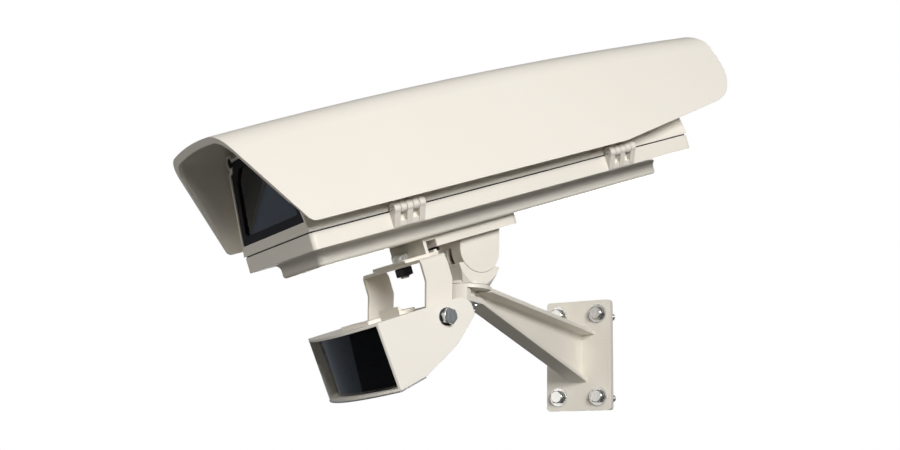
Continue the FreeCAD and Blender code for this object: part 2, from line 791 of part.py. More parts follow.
def rear_panel():
    low = tray_length - panel_thickness
    panel = cover_prism(0, seam_half_gap, low, tray_length)
    notch = [(-opening_foot_half, -1), (opening_foot_half, -1), (opening_foot_half, 0),
             (opening_top_half, opening_height, 4), (-opening_top_half, opening_height, 4), (-opening_foot_half, 0)]
    tools = [slab("xz", notch, low - 1, tray_length + 1)]
    for x, z in channel_points() + panel_foot_points():
        tools.append(rod(screw_channel_r, V(x, low - 1, z), V(x, tray_length + 1, z)))
    return cut_all(panel, tools)


def panel_foot_points():
    return [(-tray_half + 9, 9.0), (tray_half - 9, 9.0)]


# Two small blocks inside the cover's rear corners which take the lower panel screws
def corner_blocks():
    blocks = []
    rear = tray_length - panel_thickness
    for x, z in panel_foot_points():
        side = math.copysign(1, x)
        x0, x1 = sorted((x - side * 5, side * side_half(z + 5, cover_wall)))
        piece = block(x0, x1, rear - panel_screw_length - 2, rear, z - 5, z + 5)
        blocks.append(piece.cut(rod(screw_channel_r, V(x, rear - 30, z), V(x, rear, z))))
    return Part.makeCompound(blocks)


def panel_screws():
    screws = []
    for x, z in channel_points() + panel_foot_points():
        reach = panel_screw_length + panel_thickness - 1
        screws.append(button_screw(screw_channel_r, reach, V(x, tray_length, z), V(0, -1, 0)))
    return Part.makeCompound(screws)


# Low domed screw that seats at base, with its shank along direction
def button_screw(shank_r, length, base, direction):
    head_r = shank_r * 1.9
    head_height = shank_r * 1.1
    head = Part.makeCone(head_r, head_r * 0.72, head_height, base, direction * -1)
    socket = hexagon(shank_r * 1.3, shank_r * 0.8, base - direction * (head_height - shank_r * 0.8 + 0.01), direction * -1)
    shank = rod(shank_r, base, base + direction * length)
    return head.fuse(shank).removeSplitter().cut(socket)


# Cone that a flush screw's head fills, with its flat end at base
def head_cone(shank_r, base, direction):
    return Part.makeCone(shank_r * 2, shank_r, shank_r, base, direction)


# Flush screw whose head lies a little below base
def flush_screw(shank_r, length, base, direction):
    top = base + direction * 0.2
    head = Part.makeCone(shank_r * 2 - 0.2, shank_r, shank_r - 0.2, top, direction)
    socket = hexagon(shank_r * 1.2, shank_r * 0.7, top - direction * 0.01, direction)
    return head.fuse(rod(shank_r, top, base + direction * length)).removeSplitter().cut(socket)


def glass_gasket():
    rear = gasket_front + gasket_thickness
    ring = cover_prism(cover_wall, sill_height, gasket_front, rear)
    return ring.cut(window_slab(gasket_border, gasket_front, rear))


def front_glass():
    front = gasket_front + gasket_thickness
    pane = cover_prism(cover_wall + glass_gap, sill_height + glass_gap, front, front + glass_thickness)
    return pane.common(window_slab(glass_gap, front, front + glass_thickness))


# Small plates that bear on the back of the glass and reach the side walls of the cover
def glass_clamps():
    back = gasket_front + gasket_thickness + glass_thickness
    plates = []
    for side in (-1, 1):
        for z in clamp_plate_zs:
            x0, x1 = sorted((side * (side_half(z, cover_wall) - 14), side * side_half(z + 6, cover_wall)))
            plates.append(block(x0, x1, back, back + clamp_thickness, z - 6, z + 6, 0.5))
    return Part.makeCompound(plates)


def chord_outline(y, inset):
    fall = shield_bow * ((y - shield_middle()) / shield_span()) ** 2
    crown = shield_crown - fall
    lean = math.radians(shield_lean)
    normal = (math.cos(lean), math.sin(lean))
    side = normal[0] * shield_half + normal[1] * shield_low
    centre_z = crown - crown_r
    reach = crown_r - fold_r
    # centre of the fold arc: at fold_r inside the side line and tangent inside the crown arc
    foot = side - fold_r
    a = 1 + (normal[1] / normal[0]) ** 2
    b = -2 * foot * normal[1] / normal[0] ** 2 - 2 * centre_z
    c = (foot / normal[0]) ** 2 + centre_z ** 2 - reach ** 2
    fold_z = (-b + math.sqrt(b * b - 4 * a * c)) / (2 * a)
    fold_x = (foot - normal[1] * fold_z) / normal[0]
    fold = (fold_x, fold_z)
    away = ((fold_x / reach), (fold_z - centre_z) / reach)
    radius = fold_r - inset
    on_side = (fold[0] + normal[0] * radius, fold[1] + normal[1] * radius)
    on_crown = (fold[0] + away[0] * radius, fold[1] + away[1] * radius)
    between = ((normal[0] + away[0]) / 2, (normal[1] + away[1]) / 2)
    size = math.hypot(*between)
    on_fold = (fold[0] + between[0] / size * radius, fold[1] + between[1] / size * radius)
    below = 20 + inset * 4
    low = (shield_half - normal[0] * inset + math.tan(lean) * (below + normal[1] * inset), shield_low - below)
    return low, on_side, on_fold, on_crown, (0, crown - inset)


def shield_span():
    return (shield_rear - shield_front + 50) / 2


def shield_middle():
    return (shield_rear + shield_front - 50) / 2


def shield_wire(y, inset):
    low, on_side, on_fold, on_crown, crown = [V(p[0], y, p[1]) for p in chord_outline(y, inset)]
    left = [V(-p.x, y, p.z) for p in (low, on_side, on_fold, on_crown)]
    return Part.Wire([Part.makeLine(low, on_side), Part.Arc(on_side, on_fold, on_crown).toShape(),
                      Part.Arc(on_crown, crown, left[3]).toShape(), Part.Arc(left[3], left[2], left[1]).toShape(),
                      Part.makeLine(left[1], left[0]), Part.makeLine(left[0], low)])


def shield_solid(inset):
    first = shield_front - 75
    last = shield_rear + 5
    wires = [shield_wire(first + (last - first) * step / 4, inset) for step in range(5)]
    return Part.makeLoft(wires, True, False)


# Side view of the sunshield: raked visor in front, lower edge that rises to a rounded rear
def shield_side():
    top = shield_crown + 20
    visor = shield_front - shield_rake * (top - shield_low)
    corners = [(shield_front, shield_low, 8), (shield_rear_low, shield_low, 90),
               (shield_rear, shield_low + shield_rear_rise, 42), (shield_rear, shield_crown - 14, 28),
               (shield_rear - 48, shield_crown + 6), (shield_rear - 48, top), (visor, top)]
    return slab("yz", corners, -shield_half - 30, shield_half + 30)


def sunshield():
    outer = shield_solid(0)
    inner = shield_solid(shield_sheet)
    lowered = inner.copy()
    lowered.translate(V(0, 0, -visor_lip))
    whole = shield_side()
    behind = whole.copy()
    behind.translate(V(0, visor_lip_length, 0))
    sheet = outer.cut(inner).common(whole)
    lip = outer.cut(lowered).common(whole).cut(behind)
    sheet = fused([sheet, lip.common(block(-200, 200, -200, 20, shield_low + 20, 200))])
    tools = []
    for x, y in spacer_points():
        tools.append(rod(shield_screw_r, V(x, y, roof_height), V(x, y, shield_crown + 5)))
        tools.append(head_cone(shield_screw_r, V(x, y, shield_height(x, y)), V(0, 0, -1)))
        tools.append(rod(shield_screw_r * 2, V(x, y, shield_height(x, y)), V(x, y, shield_crown + 5)))
    return cut_all(sheet, tools)


def spacer_points():
    return [(x, y) for x in (-spacer_x, spacer_x) for y in spacer_ys]


def shield_spacers():
    inner = shield_solid(shield_sheet)
    spacers = []
    for x, y in spacer_points():
        post = rod(spacer_r, V(x, y, roof_height), V(x, y, shield_crown + 5))
        post = post.cut(rod(shield_screw_r, V(x, y, roof_height - 1), V(x, y, shield_crown + 6)))
        spacers.append(post.common(inner))
    return Part.makeCompound(spacers)


def shield_height(x, y):
    crown = chord_outline(y, 0)[4][1]
    return crown - crown_r + math.sqrt(crown_r ** 2 - x * x)


def shield_screws():
    screws = []
    for x, y in spacer_points():
        top = shield_height(x, y)
        screws.append(flush_screw(shield_screw_r, top - roof_height + cover_wall, V(x, y, top), V(0, 0, -1)))
    return Part.makeCompound(screws)


def cover_screws():
    screws = []
    for y in cover_screw_ys():
        top = lug_height + cover_screw_r * 2
        head = rod(cover_screw_r * 2, V(cover_screw_x, y, lug_height), V(cover_screw_x, y, top))
        shank = rod(cover_screw_r, V(cover_screw_x, y, -9), V(cover_screw_x, y, lug_height))
        slot = block(cover_screw_x - 6, cover_screw_x + 6, y - 0.7, y + 0.7, top - 1.5, top + 1)
        screws.append(head.fuse(shank).removeSplitter().cut(slot))
    return Part.makeCompound(screws)


def lean_back(z):
    return -math.tan(math.radians(yoke_lean)) * (yoke_kink - z)


def yoke_leg_outline():
    top = -keel_depth - hanger_drop
    rear = yoke_front + yoke_width
    low = lamp_axis_z
    return [(yoke_front, top), (rear, top, 8), (rear, yoke_kink - 4, 3),
            (rear + lean_back(low) + 1.2, low), (yoke_front + lean_back(low) + 0.5, low), (yoke_front, yoke_kink, 3)]


def lamp_yoke():
    top = -keel_depth - hanger_drop - running
    web = block(-yoke_half, yoke_half, yoke_front, yoke_front + yoke_width, top - yoke_sheet, top)
    pieces = [web]
    for x0, x1 in ((-yoke_half, -yoke_half + yoke_sheet), (yoke_half - yoke_sheet, yoke_half)):
        leg = slab("yz", yoke_leg_outline(), x0, x1)
        end = rod(leg_end_r, V(x0, lamp_axis_y, lamp_axis_z), V(x1, lamp_axis_y, lamp_axis_z))
        pieces += [leg.common(block(x0, x1, 0, 300, -200, top)), end]
    body = fused(pieces)
    rounded = slab("xz", [(-yoke_half, -200), (yoke_half, -200), (yoke_half, top, 5), (-yoke_half, top, 5)], 0, 300)
    tools = [rod(yoke_bolt_r + running, V(0, yoke_axis_y(), top - 10), V(0, yoke_axis_y(), top + 5)),
             rod(lamp_bolt_r + running, V(-100, lamp_axis_y, lamp_axis_z), V(100, lamp_axis_y, lamp_axis_z))]
    return cut_all(body.common(rounded), tools)


# Side outline of the lamp, with its walls moved inwards by an inset
def lamp_outline(inset, front):
    return [(front, lamp_top - inset), (front + 4, -150.5 + inset), (43, -150.5 + inset), (70 - inset, -146 + inset * 1.1),
            (108 - inset, -129.5 + inset, 60), (136 - inset, -108, 9), (135 - inset * 1.2, -96, 8),
            (127 - inset, lamp_top - inset, 6)]


# Cylinder that bows the front of the lamp; it leans with the front face
def front_bow(inset):
    centre_y = 39 - lamp_front_bow + lamp_front_r
    return rod(lamp_front_r - inset, V(0, centre_y - 4, lamp_top + 61.1), V(0, centre_y + 12, lamp_top - 61.1 * 3))


def top_dish(inset):
    centre = V(0, -200, lamp_top - lamp_dish - inset + lamp_dish_r)
    return rod(lamp_dish_r, centre, centre + V(0, 600, 0))


def lamp_blank(half, inset, front_inset):
    body = slab("yz", lamp_outline(inset, 15), -half, half)
    return body.common(front_bow(front_inset)).cut(top_dish(inset))


# Inside of the lamp's walls, over the whole width in front of the leg slots
def lamp_inside(inset):
    half = lamp_half - inset
    inner = slab("yz", lamp_outline(inset, 0), -half, half)
    return inner.cut(top_dish(inset))


def lamp_rear_cavity():
    half = lamp_core_half - lamp_wall
    return block(-half, half, 0, lamp_cavity_rear, -200, 0)


def lamp_body():
    body = lamp_blank(lamp_half, 0, 0)
    pad = block(-lamp_pad_half, lamp_pad_half, lamp_pad_front, lamp_pad_rear, lamp_top - lamp_dish - 1.5, lamp_top + lamp_pad_rise, 1.5)
    body = fused([body, pad])
    inner = lamp_inside(lamp_wall)
    fore = block(-100, 100, 0, lamp_slot_front - lamp_wall, -200, 0)
    tools = [inner.common(fore.fuse(lamp_rear_cavity()))]
    for side in (-1, 1):
        x0, x1 = sorted((side * lamp_core_half, side * (lamp_half - lamp_wall)))
        tools.append(block(x0, x1, lamp_slot_front, 200, lamp_slot_floor, 0))
        tools.append(block(x0, x1, lamp_slot_front + 14, 200, -200, 0))
    body = cut_all(body, tools)
    ledge_front = lamp_recess + lamp_pane + lamp_gasket
    ledge = lamp_inside(lamp_wall - 0.5).cut(lamp_inside(lamp_wall + lamp_ledge))
    ledge = ledge.common(front_bow(ledge_front)).cut(front_bow(ledge_front + 3))
    bosses = []
    for side in (-1, 1):
        start = V(side * (lamp_core_half - 1), lamp_axis_y, lamp_axis_z)
        bosses.append(rod(lamp_bolt_r + 2.5, start, start - V(side * 8, 0, 0)))
    body = fused([body, ledge] + bosses)
    seat = lamp_gland_seat()
    tools = [rod(lamp_bolt_r, V(-100, lamp_axis_y, lamp_axis_z), V(100, lamp_axis_y, lamp_axis_z)),
             rod(gland_r - 1, seat + lamp_gland_way() * 5, seat - lamp_gland_way() * 12)]
    tools += [rod(lamp_plate_screw_r, base, base + lamp_plate_way() * (lamp_plate + 2)) for base in lamp_plate_points()]
    return cut_all(body, tools)


def lamp_window():
    gap = 0.1
    half = lamp_half - lamp_wall - gap
    pane = slab("yz", lamp_outline(lamp_wall + gap, 0), -half, half)
    pane = pane.common(front_bow(lamp_recess)).cut(front_bow(lamp_recess + lamp_pane))
    return pane.cut(top_dish(lamp_wall + gap))


def lamp_window_gasket():
    front = lamp_recess + lamp_pane
    ring = lamp_inside(lamp_wall).cut(lamp_inside(lamp_wall + lamp_ledge))
    return ring.common(front_bow(front)).cut(front_bow(front + lamp_gasket))


# Bottom plate of the lamp, whose edge shows under the cheeks
def lamp_base_plate():
    sheet = lamp_plate
    corners = [(20, -150.5), (43, -150.5), (70, -146), (70, -146 - sheet), (43, -150.5 - sheet), (20, -150.5 - sheet)]
    plate = slab("yz", corners, -lamp_half, lamp_half).common(front_bow(-0.6))
    return cut_all(plate, [rod(lamp_plate_screw_r, base, base + lamp_plate_way() * 5) for base in lamp_plate_points()])


def lamp_plate_way():
    return V(0, -4.5, 27).normalize()


def lamp_plate_points():
    return [V(x, 57, -150.5 + 14 / 6 - lamp_plate) for x in (-lamp_half + 14, lamp_half - 14)]


def lamp_plate_screws():
    return Part.makeCompound([button_screw(lamp_plate_screw_r, lamp_plate + 2, base, lamp_plate_way())
                              for base in lamp_plate_points()])


# Folded clip on the lamp's top, which holds its lead
def cable_clip():
    foot_top = lamp_top - lamp_dish + lamp_clip_sheet + 0.4
    foot = block(-lamp_clip_half, lamp_clip_half, lamp_clip_front, lamp_clip_rear, lamp_top - 8, foot_top)
    lip = block(-lamp_clip_half, lamp_clip_half, lamp_clip_front, lamp_clip_front + lamp_clip_sheet, lamp_top - 8,
                lamp_top + lamp_clip_rise)
    return fused([foot, lip]).common(top_dish(0))


def pivot_base(side):
    return V(side * (lamp_half + lamp_bolt_washer), lamp_axis_y, lamp_axis_z)


def lamp_pivot_bolts():
    bolts = []
    for side in (-1, 1):
        bolts.append(hex_bolt(lamp_bolt_head, lamp_bolt_head_height, lamp_bolt_r, lamp_bolt_length, pivot_base(side), V(-side, 0, 0)))
    return Part.makeCompound(bolts)


def lamp_pivot_washers():
    rings = []
    for side in (-1, 1):
        rings.append(washer(lamp_bolt_head * 0.62, lamp_bolt_r, lamp_bolt_washer, pivot_base(side), V(-side, 0, 0)))
    return Part.makeCompound(rings)


def lamp_pivot_sleeves():
    sleeves = []
    length = lamp_half - lamp_wall - yoke_half - apart
    for side in (-1, 1):
        start = V(side * (yoke_half + apart), lamp_axis_y, lamp_axis_z)
        sleeves.append(washer(lamp_bolt_r * 2, lamp_bolt_r, length, start, V(side, 0, 0)))
    return Part.makeCompound(sleeves)


def led_board():
    low = lamp_board_low
    high = lamp_board_high
    half = emitter_pitch_x * (emitter_columns - 1) / 2 + 8
    return block(-half, half, lamp_board_y, lamp_board_y + board_thickness, low, high)


def led_emitters():
    emitters = []
    middle = (lamp_board_low + lamp_board_high) / 2
    for column in range(emitter_columns):
        for row in range(emitter_rows):
            x = (column - (emitter_columns - 1) / 2) * emitter_pitch_x
            z = middle + (row - (emitter_rows - 1) / 2) * emitter_pitch_z
            body = Part.makeCylinder(emitter_r, emitter_r, V(x, lamp_board_y, z), V(0, -1, 0))
            lens = Part.makeCone(emitter_r * 0.9, emitter_r * 0.4, emitter_r, V(x, lamp_board_y - emitter_r, z), V(0, -1, 0))
            emitters.append(body.fuse(lens).removeSplitter())
    return Part.makeCompound(emitters)


# Finned block behind the emitter board; it spans the lamp's core from wall to wall
def heat_sink():
    half = lamp_core_half - lamp_wall - apart
    front = lamp_board_y + board_thickness
    base = block(-half, half, front, front + 14, lamp_board_low + 1, lamp_board_high - 1)
    fins = []
    for step in range(8):
        x = (step - 3.5) * 12
        fins.append(block(x - 1.2, x + 1.2, front + 13, front + 30, lamp_board_low + 8, lamp_board_high - 1))
    return fused([base] + fins)


def lamp_gland_way():
    return V(0, 16.5, -38).normalize()


def lamp_gland_seat():
    return V(0, 96, -135.6)


# Cable gland that stands on base along direction: hexagon, dome nut with a bore, and a short thread inside
def cable_gland(radius, across, base, way, inside):
    flange = hexagon(across, 4, base, way)
    dome_base = base + way * 4
    dome = Part.makeCylinder(across * 0.47, 7, dome_base, way)
    tip = Part.makeCone(across * 0.47, radius * 0.8, 4, dome_base + way * 7, way)
    thread = rod(radius, base - way * inside, base)
    body = fused([flange, dome, tip, thread])
    return body.cut(rod(radius * 0.55, base - way * 20, base + way * 20))


def lamp_gland():
    seat = lamp_gland_seat()
    return cable_gland(gland_r - 1, 14, seat, lamp_gland_way(), lamp_wall)


def gland_seats():
    return [V(x, tray_length, gland_z) for x in gland_xs]


def cable_glands():
    return Part.makeCompound([cable_gland(gland_r, gland_hex, seat, V(0, 1, 0), tray_wall + 6) for seat in gland_seats()])


def gland_nuts():
    nuts = []
    for seat in gland_seats():
        base = seat - V(0, tray_wall, 0)
        nut = hexagon(gland_hex, 4, base, V(0, -1, 0))
        nuts.append(nut.cut(rod(gland_r, base + V(0, 1, 0), base - V(0, 10, 0))))
    return Part.makeCompound(nuts)


def post_points():
    return [(x, y) for x in (-post_x, post_x) for y in post_ys]


def camera_slide():
    plate = block(-slide_half, slide_half, slide_front, slide_rear, slide_top - slide_sheet, slide_top, 4)
    slot = rectangle(-3.3, 3.3, slide_front + 35, slide_rear - 35, 3.2)
    tools = [slab("xy", slot, slide_top - 10, slide_top + 1)]
    for x, y in post_points():
        tools.append(rod(screw_channel_r, V(x, y, slide_top - 10), V(x, y, slide_top + 1)))
        tools.append(head_cone(screw_channel_r, V(x, y, slide_top), V(0, 0, -1)))
    return cut_all(plate, tools)


def slide_posts():
    posts = []
    for x, y in post_points():
        top = slide_top - slide_sheet
        post = rod(post_r, V(x, y, tray_floor()), V(x, y, top))
        posts.append(post.cut(rod(screw_channel_r, V(x, y, top - 8), V(x, y, top + 1))))
    return Part.makeCompound(posts)


def slide_screws():
    return Part.makeCompound([flush_screw(screw_channel_r, 9, V(x, y, slide_top), V(0, 0, -1))
                              for x, y in post_points()])


def board_posts_points():
    inset = 5
    return [(x, y) for x in (-board_half + inset, board_half - inset)
            for y in (board_front + inset, board_rear - inset)]


def terminal_board():
    board = block(-board_half, board_half, board_front, board_rear, board_top - board_thickness, board_top, 2)
    return cut_all(board, [rod(1.5, V(x, y, board_top - 5), V(x, y, board_top + 5)) for x, y in board_posts_points()])


def board_posts():
    posts = []
    for x, y in board_posts_points():
        post = rod(3, V(x, y, tray_floor()), V(x, y, board_top - board_thickness))
        pin = rod(1.5, V(x, y, board_top - 4), V(x, y, board_top + 1))
        posts.append(post.fuse(pin).removeSplitter())
    return Part.makeCompound(posts)


# Terminal blocks: a stepped body with one screw hole and one wire mouth for each way
def terminal_blocks():
    blocks = []
    for y in (board_front + 16, board_rear - 20):
        profile = [(y, board_top), (y + 11, board_top), (y + 11, board_top + 9), (y + 7, board_top + 14), (y, board_top + 14)]
        body = slab("yz", profile, -25, 25)
        holes = []
        for step in range(5):
            x = (step - 2) * 9.5
            holes.append(rod(1.8, V(x, y + 3.5, board_top + 8), V(x, y + 3.5, board_top + 20)))
            holes.append(block(x - 2.2, x + 2.2, y + 6, y + 20, board_top + 2, board_top + 6))
        blocks.append(cut_all(body, holes))
    return Part.makeCompound(blocks)


# Finned heater on the floor of the keel, behind the window
def window_heater():
    floor = tray_floor()
    pieces = [block(-heater_half, heater_half, heater_front, heater_rear, floor, floor + 3)]
    for step in range(7):
        y = heater_front + 1.5 + step * (heater_rear - heater_front - 3) / 6
        pieces.append(block(-heater_half, heater_half, y - 0.8, y + 0.8, floor + 2, floor + 13))
    return fused(pieces)


NODES = {
    "wall_bracket": (wall_bracket, "wall"),
    "wall_bolts": (wall_bolts, "wall"),
    "wall_washers": (wall_washers, "wall"),
    "pan_saddle": (pan_saddle, "saddle"),
    "clamp_bolt": (clamp_bolt, "saddle"),
    "clamp_washer": (clamp_washer, "saddle"),
    "curved_washer": (curved_washer, "saddle"),
    "clamp_nut": (clamp_nut, "saddle"),
    "tilt_rocker": (tilt_rocker, "housing"),
    "rocker_screws": (rocker_screws, "housing"),
    "adaptor_plate": (adaptor_plate, "housing"),
    "adaptor_bolts": (adaptor_bolts, "housing"),
    "lamp_hanger": (lamp_hanger, "housing"),
    "hanger_bolts": (hanger_bolts, "housing"),
    "yoke_bolt": (yoke_bolt, "housing"),
    "yoke_nut": (yoke_nut, "housing"),
    "base_tray": (base_tray, "housing"),
    "seal_gasket": (seal_gasket, "housing"),
    "cable_glands": (cable_glands, "housing"),
    "gland_nuts": (gland_nuts, "housing"),
    "camera_slide": (camera_slide, "housing"),
    "slide_posts": (slide_posts, "housing"),
    "slide_screws": (slide_screws, "housing"),
    "terminal_board": (terminal_board, "housing"),
    "board_posts": (board_posts, "housing"),
    "terminal_blocks": (terminal_blocks, "housing"),
    "window_heater": (window_heater, "housing"),
    "hinge_pins": (hinge_pins, "housing"),
    "top_cover": (top_cover, "housing"),
    "rear_panel": (rear_panel, "housing"),
    "corner_blocks": (corner_blocks, "housing"),
    "panel_screws": (panel_screws, "housing"),
    "glass_gasket": (glass_gasket, "housing"),
    "front_glass": (front_glass, "housing"),
    "glass_clamps": (glass_clamps, "housing"),
    "sunshield": (sunshield, "housing"),
    "shield_spacers": (shield_spacers, "housing"),
    "shield_screws": (shield_screws, "housing"),
    "cover_screws": (cover_screws, "housing"),
    "lamp_yoke": (lamp_yoke, "housing"),
    "lamp_body": (lamp_body, "housing"),
    "lamp_window": (lamp_window, "housing"),
    "lamp_window_gasket": (lamp_window_gasket, "housing"),
    "lamp_base_plate": (lamp_base_plate, "housing"),
    "lamp_plate_screws": (lamp_plate_screws, "housing"),
    "cable_clip": (cable_clip, "housing"),
    "lamp_pivot_bolts": (lamp_pivot_bolts, "housing"),
    "lamp_pivot_washers": (lamp_pivot_washers, "housing"),
    "lamp_pivot_sleeves": (lamp_pivot_sleeves, "housing"),
    "led_board": (led_board, "housing"),
    "led_emitters": (led_emitters, "housing"),
    "heat_sink": (heat_sink, "housing"),
    "lamp_gland": (lamp_gland, "housing"),
}


def frames():
    tilt_axis = V(0, -arm_reach, boss_top + tilt_height)
    pan = FreeCAD.Placement(tilt_axis, FreeCAD.Rotation(V(0, 0, 1), pan_angle))
    tilt = FreeCAD.Placement(V(0, 0, 0), FreeCAD.Rotation(V(1, 0, 0), tilt_angle))
    housing = pan.multiply(tilt).multiply(FreeCAD.Placement(V(0, -tilt_axis_y, -tilt_axis_z), FreeCAD.Rotation()))
    return {"wall": FreeCAD.Placement(), "saddle": pan, "housing": housing}


def main():
    os.makedirs("parts", exist_ok=True)
    placements = frames()
    for name, (make, group) in NODES.items():
        shape = make()
        shape.Placement = placements[group].multiply(shape.Placement)
        shape.exportStep("parts/" + name + ".step")
        print(name, len(shape.Solids), "solids", round(shape.Volume), "mm3", "valid", shape.isValid())


main()
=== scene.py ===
import json
import math

import bpy
import numpy as np
from mathutils import Matrix, Vector


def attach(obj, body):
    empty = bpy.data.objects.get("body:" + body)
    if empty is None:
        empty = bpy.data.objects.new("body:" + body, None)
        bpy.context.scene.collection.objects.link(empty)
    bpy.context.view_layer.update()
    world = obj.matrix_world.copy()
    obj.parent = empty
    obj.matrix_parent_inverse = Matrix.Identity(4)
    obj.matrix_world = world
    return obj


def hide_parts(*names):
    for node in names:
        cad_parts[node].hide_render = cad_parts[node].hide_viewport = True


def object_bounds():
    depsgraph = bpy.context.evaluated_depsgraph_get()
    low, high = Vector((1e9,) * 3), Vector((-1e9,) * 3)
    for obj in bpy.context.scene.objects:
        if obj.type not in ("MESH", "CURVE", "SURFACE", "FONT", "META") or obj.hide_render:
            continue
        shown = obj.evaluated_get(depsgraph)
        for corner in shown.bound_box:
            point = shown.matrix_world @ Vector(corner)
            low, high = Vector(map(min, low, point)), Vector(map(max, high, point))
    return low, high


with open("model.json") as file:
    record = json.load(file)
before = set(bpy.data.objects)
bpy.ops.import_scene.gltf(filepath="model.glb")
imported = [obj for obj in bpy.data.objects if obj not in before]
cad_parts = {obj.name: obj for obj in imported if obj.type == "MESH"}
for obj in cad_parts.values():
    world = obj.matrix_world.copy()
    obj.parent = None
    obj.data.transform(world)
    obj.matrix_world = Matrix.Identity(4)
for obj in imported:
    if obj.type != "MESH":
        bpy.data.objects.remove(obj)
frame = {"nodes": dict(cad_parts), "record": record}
nodes = frame["nodes"]
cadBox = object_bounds()
print("frame loaded:", len(nodes), "nodes")

# Where the head and its housing stand in the frame, in metres and degrees
headPose = {"pan": -27.0, "tilt": 20.0, "reach": 0.2354, "height": 0.0769, "axisY": 0.1928, "axisZ": -0.054}


# Place of the tilt axis, turned by the pan and then by the given tilt
def tiltAxisMatrix(tilt):
    place = Matrix.Translation((0, -headPose["reach"], headPose["height"]))
    place = place @ Matrix.Rotation(math.radians(headPose["pan"]), 4, "Z")
    return place @ Matrix.Rotation(math.radians(tilt), 4, "X")


wallFrame = Matrix.Identity(4)
saddleFrame = tiltAxisMatrix(0.0)
housingFrame = tiltAxisMatrix(headPose["tilt"])
housingFrame = housingFrame @ Matrix.Translation((0, -headPose["axisY"], -headPose["axisZ"]))


# Node at x, y of the editor; a setting is the value of an input, or else a property of the node
def addNode(tree, kind, x, y, **settings):
    made = tree.nodes.new(kind)
    made.location = (x, y)
    for name, value in settings.items():
        if name in made.inputs:
            made.inputs[name].default_value = value
        else:
            setattr(made, name, value)
    return made


# Each link is a node and its output, then a node and its input
def wire(tree, *links):
    for source, output, target, entry in links:
        tree.links.new(source.outputs[output], target.inputs[entry])


# Each term is a number, or a node and its output
def mathNode(tree, operation, terms, x, y):
    made = addNode(tree, "ShaderNodeMath", x, y, operation=operation)
    for index, term in enumerate(terms):
        if isinstance(term, tuple):
            wire(tree, (*term, made, index))
        else:
            made.inputs[index].default_value = term
    return made


def rangeNode(tree, toRange, x, y, fromRange=(0.0, 1.0)):
    made = addNode(tree, "ShaderNodeMapRange", x, y)
    for labels, values in ((("From Min", "From Max"), fromRange), (("To Min", "To Max"), toRange)):
        for label, value in zip(labels, values):
            made.inputs[label].default_value = value
    return made


def colourMix(tree, low, high, x, y):
    made = addNode(tree, "ShaderNodeMix", x, y, data_type="RGBA")
    made.inputs["A"].default_value = (*low, 1)
    made.inputs["B"].default_value = (*high, 1)
    return made


# Shader groups shared by several finishes; each puts out a tone, a gloss and a height
def newGroup(name, inputs):
    group = bpy.data.node_groups.new(name, "ShaderNodeTree")
    group.interface.new_socket(name="Vector", in_out="INPUT", socket_type="NodeSocketVector")
    for label, value in inputs.items():
        socket = group.interface.new_socket(name=label, in_out="INPUT", socket_type="NodeSocketFloat")
        socket.default_value = value
    for label in ("Tone", "Gloss", "Height"):
        group.interface.new_socket(name=label, in_out="OUTPUT", socket_type="NodeSocketFloat")
    start = addNode(group, "NodeGroupInput", -900, 0)
    end = addNode(group, "NodeGroupOutput", 600, 0)
    return group, start, end


# Coat: tone and gloss = soft clouds, height = orange peel + slow waves of the metal beneath
def buildCoatGroup():
    group, start, end = newGroup("coatGrain", {"Peel": 700.0, "Waves": 0.2, "Cloud": 9.0})
    peel = addNode(group, "ShaderNodeTexNoise", -500, 200, Detail=2.0, Roughness=0.5)
    slow = addNode(group, "ShaderNodeTexNoise", -500, 0, Scale=60.0, Detail=1.0)
    cloud = addNode(group, "ShaderNodeTexNoise", -500, -200, Detail=3.0, Roughness=0.6)
    for noise in (peel, slow, cloud):
        wire(group, (start, "Vector", noise, "Vector"))
    wire(group, (start, "Peel", peel, "Scale"), (start, "Cloud", cloud, "Scale"))
    waves = mathNode(group, "MULTIPLY", ((slow, "Fac"), (start, "Waves")), -250, 0)
    height = mathNode(group, "ADD", ((peel, "Fac"), (waves, 0)), 0, 100)
    wire(group, (cloud, "Fac", end, "Tone"), (cloud, "Fac", end, "Gloss"), (height, 0, end, "Height"))
    return group


# Plated steel: tone and height = small crystals + long soft streaks from drawing, gloss = the streaks
def buildPlateGroup():
    group, start, end = newGroup("plateGrain", {"Crystal": 900.0})
    crystalShare, streakShare = 0.35, 0.65
    stretch = addNode(group, "ShaderNodeMapping", -700, 100, Scale=(400.0, 400.0, 60.0))
    streak = addNode(group, "ShaderNodeTexNoise", -450, 100, Scale=1.0, Detail=4.0)
    crystal = addNode(group, "ShaderNodeTexVoronoi", -450, -150)
    wire(group, (start, "Vector", stretch, "Vector"), (stretch, "Vector", streak, "Vector"),
         (start, "Vector", crystal, "Vector"), (start, "Crystal", crystal, "Scale"))
    crystals = mathNode(group, "MULTIPLY", ((crystal, "Color"), crystalShare), -250, -150)
    streaks = mathNode(group, "MULTIPLY", ((streak, "Fac"), streakShare), -250, 100)
    both = mathNode(group, "ADD", ((crystals, 0), (streaks, 0)), 0, 0)
    wire(group, (both, 0, end, "Tone"), (streak, "Fac", end, "Gloss"), (both, 0, end, "Height"))
    return group


# Moulded surface: tone = broad clouds, gloss and height = the fine spark-eroded grain of plastic and rubber
def buildMouldGroup():
    group, start, end = newGroup("mouldGrain", {"Grain": 1800.0})
    fine = addNode(group, "ShaderNodeTexNoise", -500, 150, Detail=2.0, Roughness=0.7)
    broad = addNode(group, "ShaderNodeTexNoise", -500, -100, Scale=45.0, Detail=3.0)
    wire(group, (start, "Vector", fine, "Vector"), (start, "Grain", fine, "Scale"),
         (start, "Vector", broad, "Vector"), (broad, "Fac", end, "Tone"), (fine, "Fac", end, "Gloss"),
         (fine, "Fac", end, "Height"))
    return group


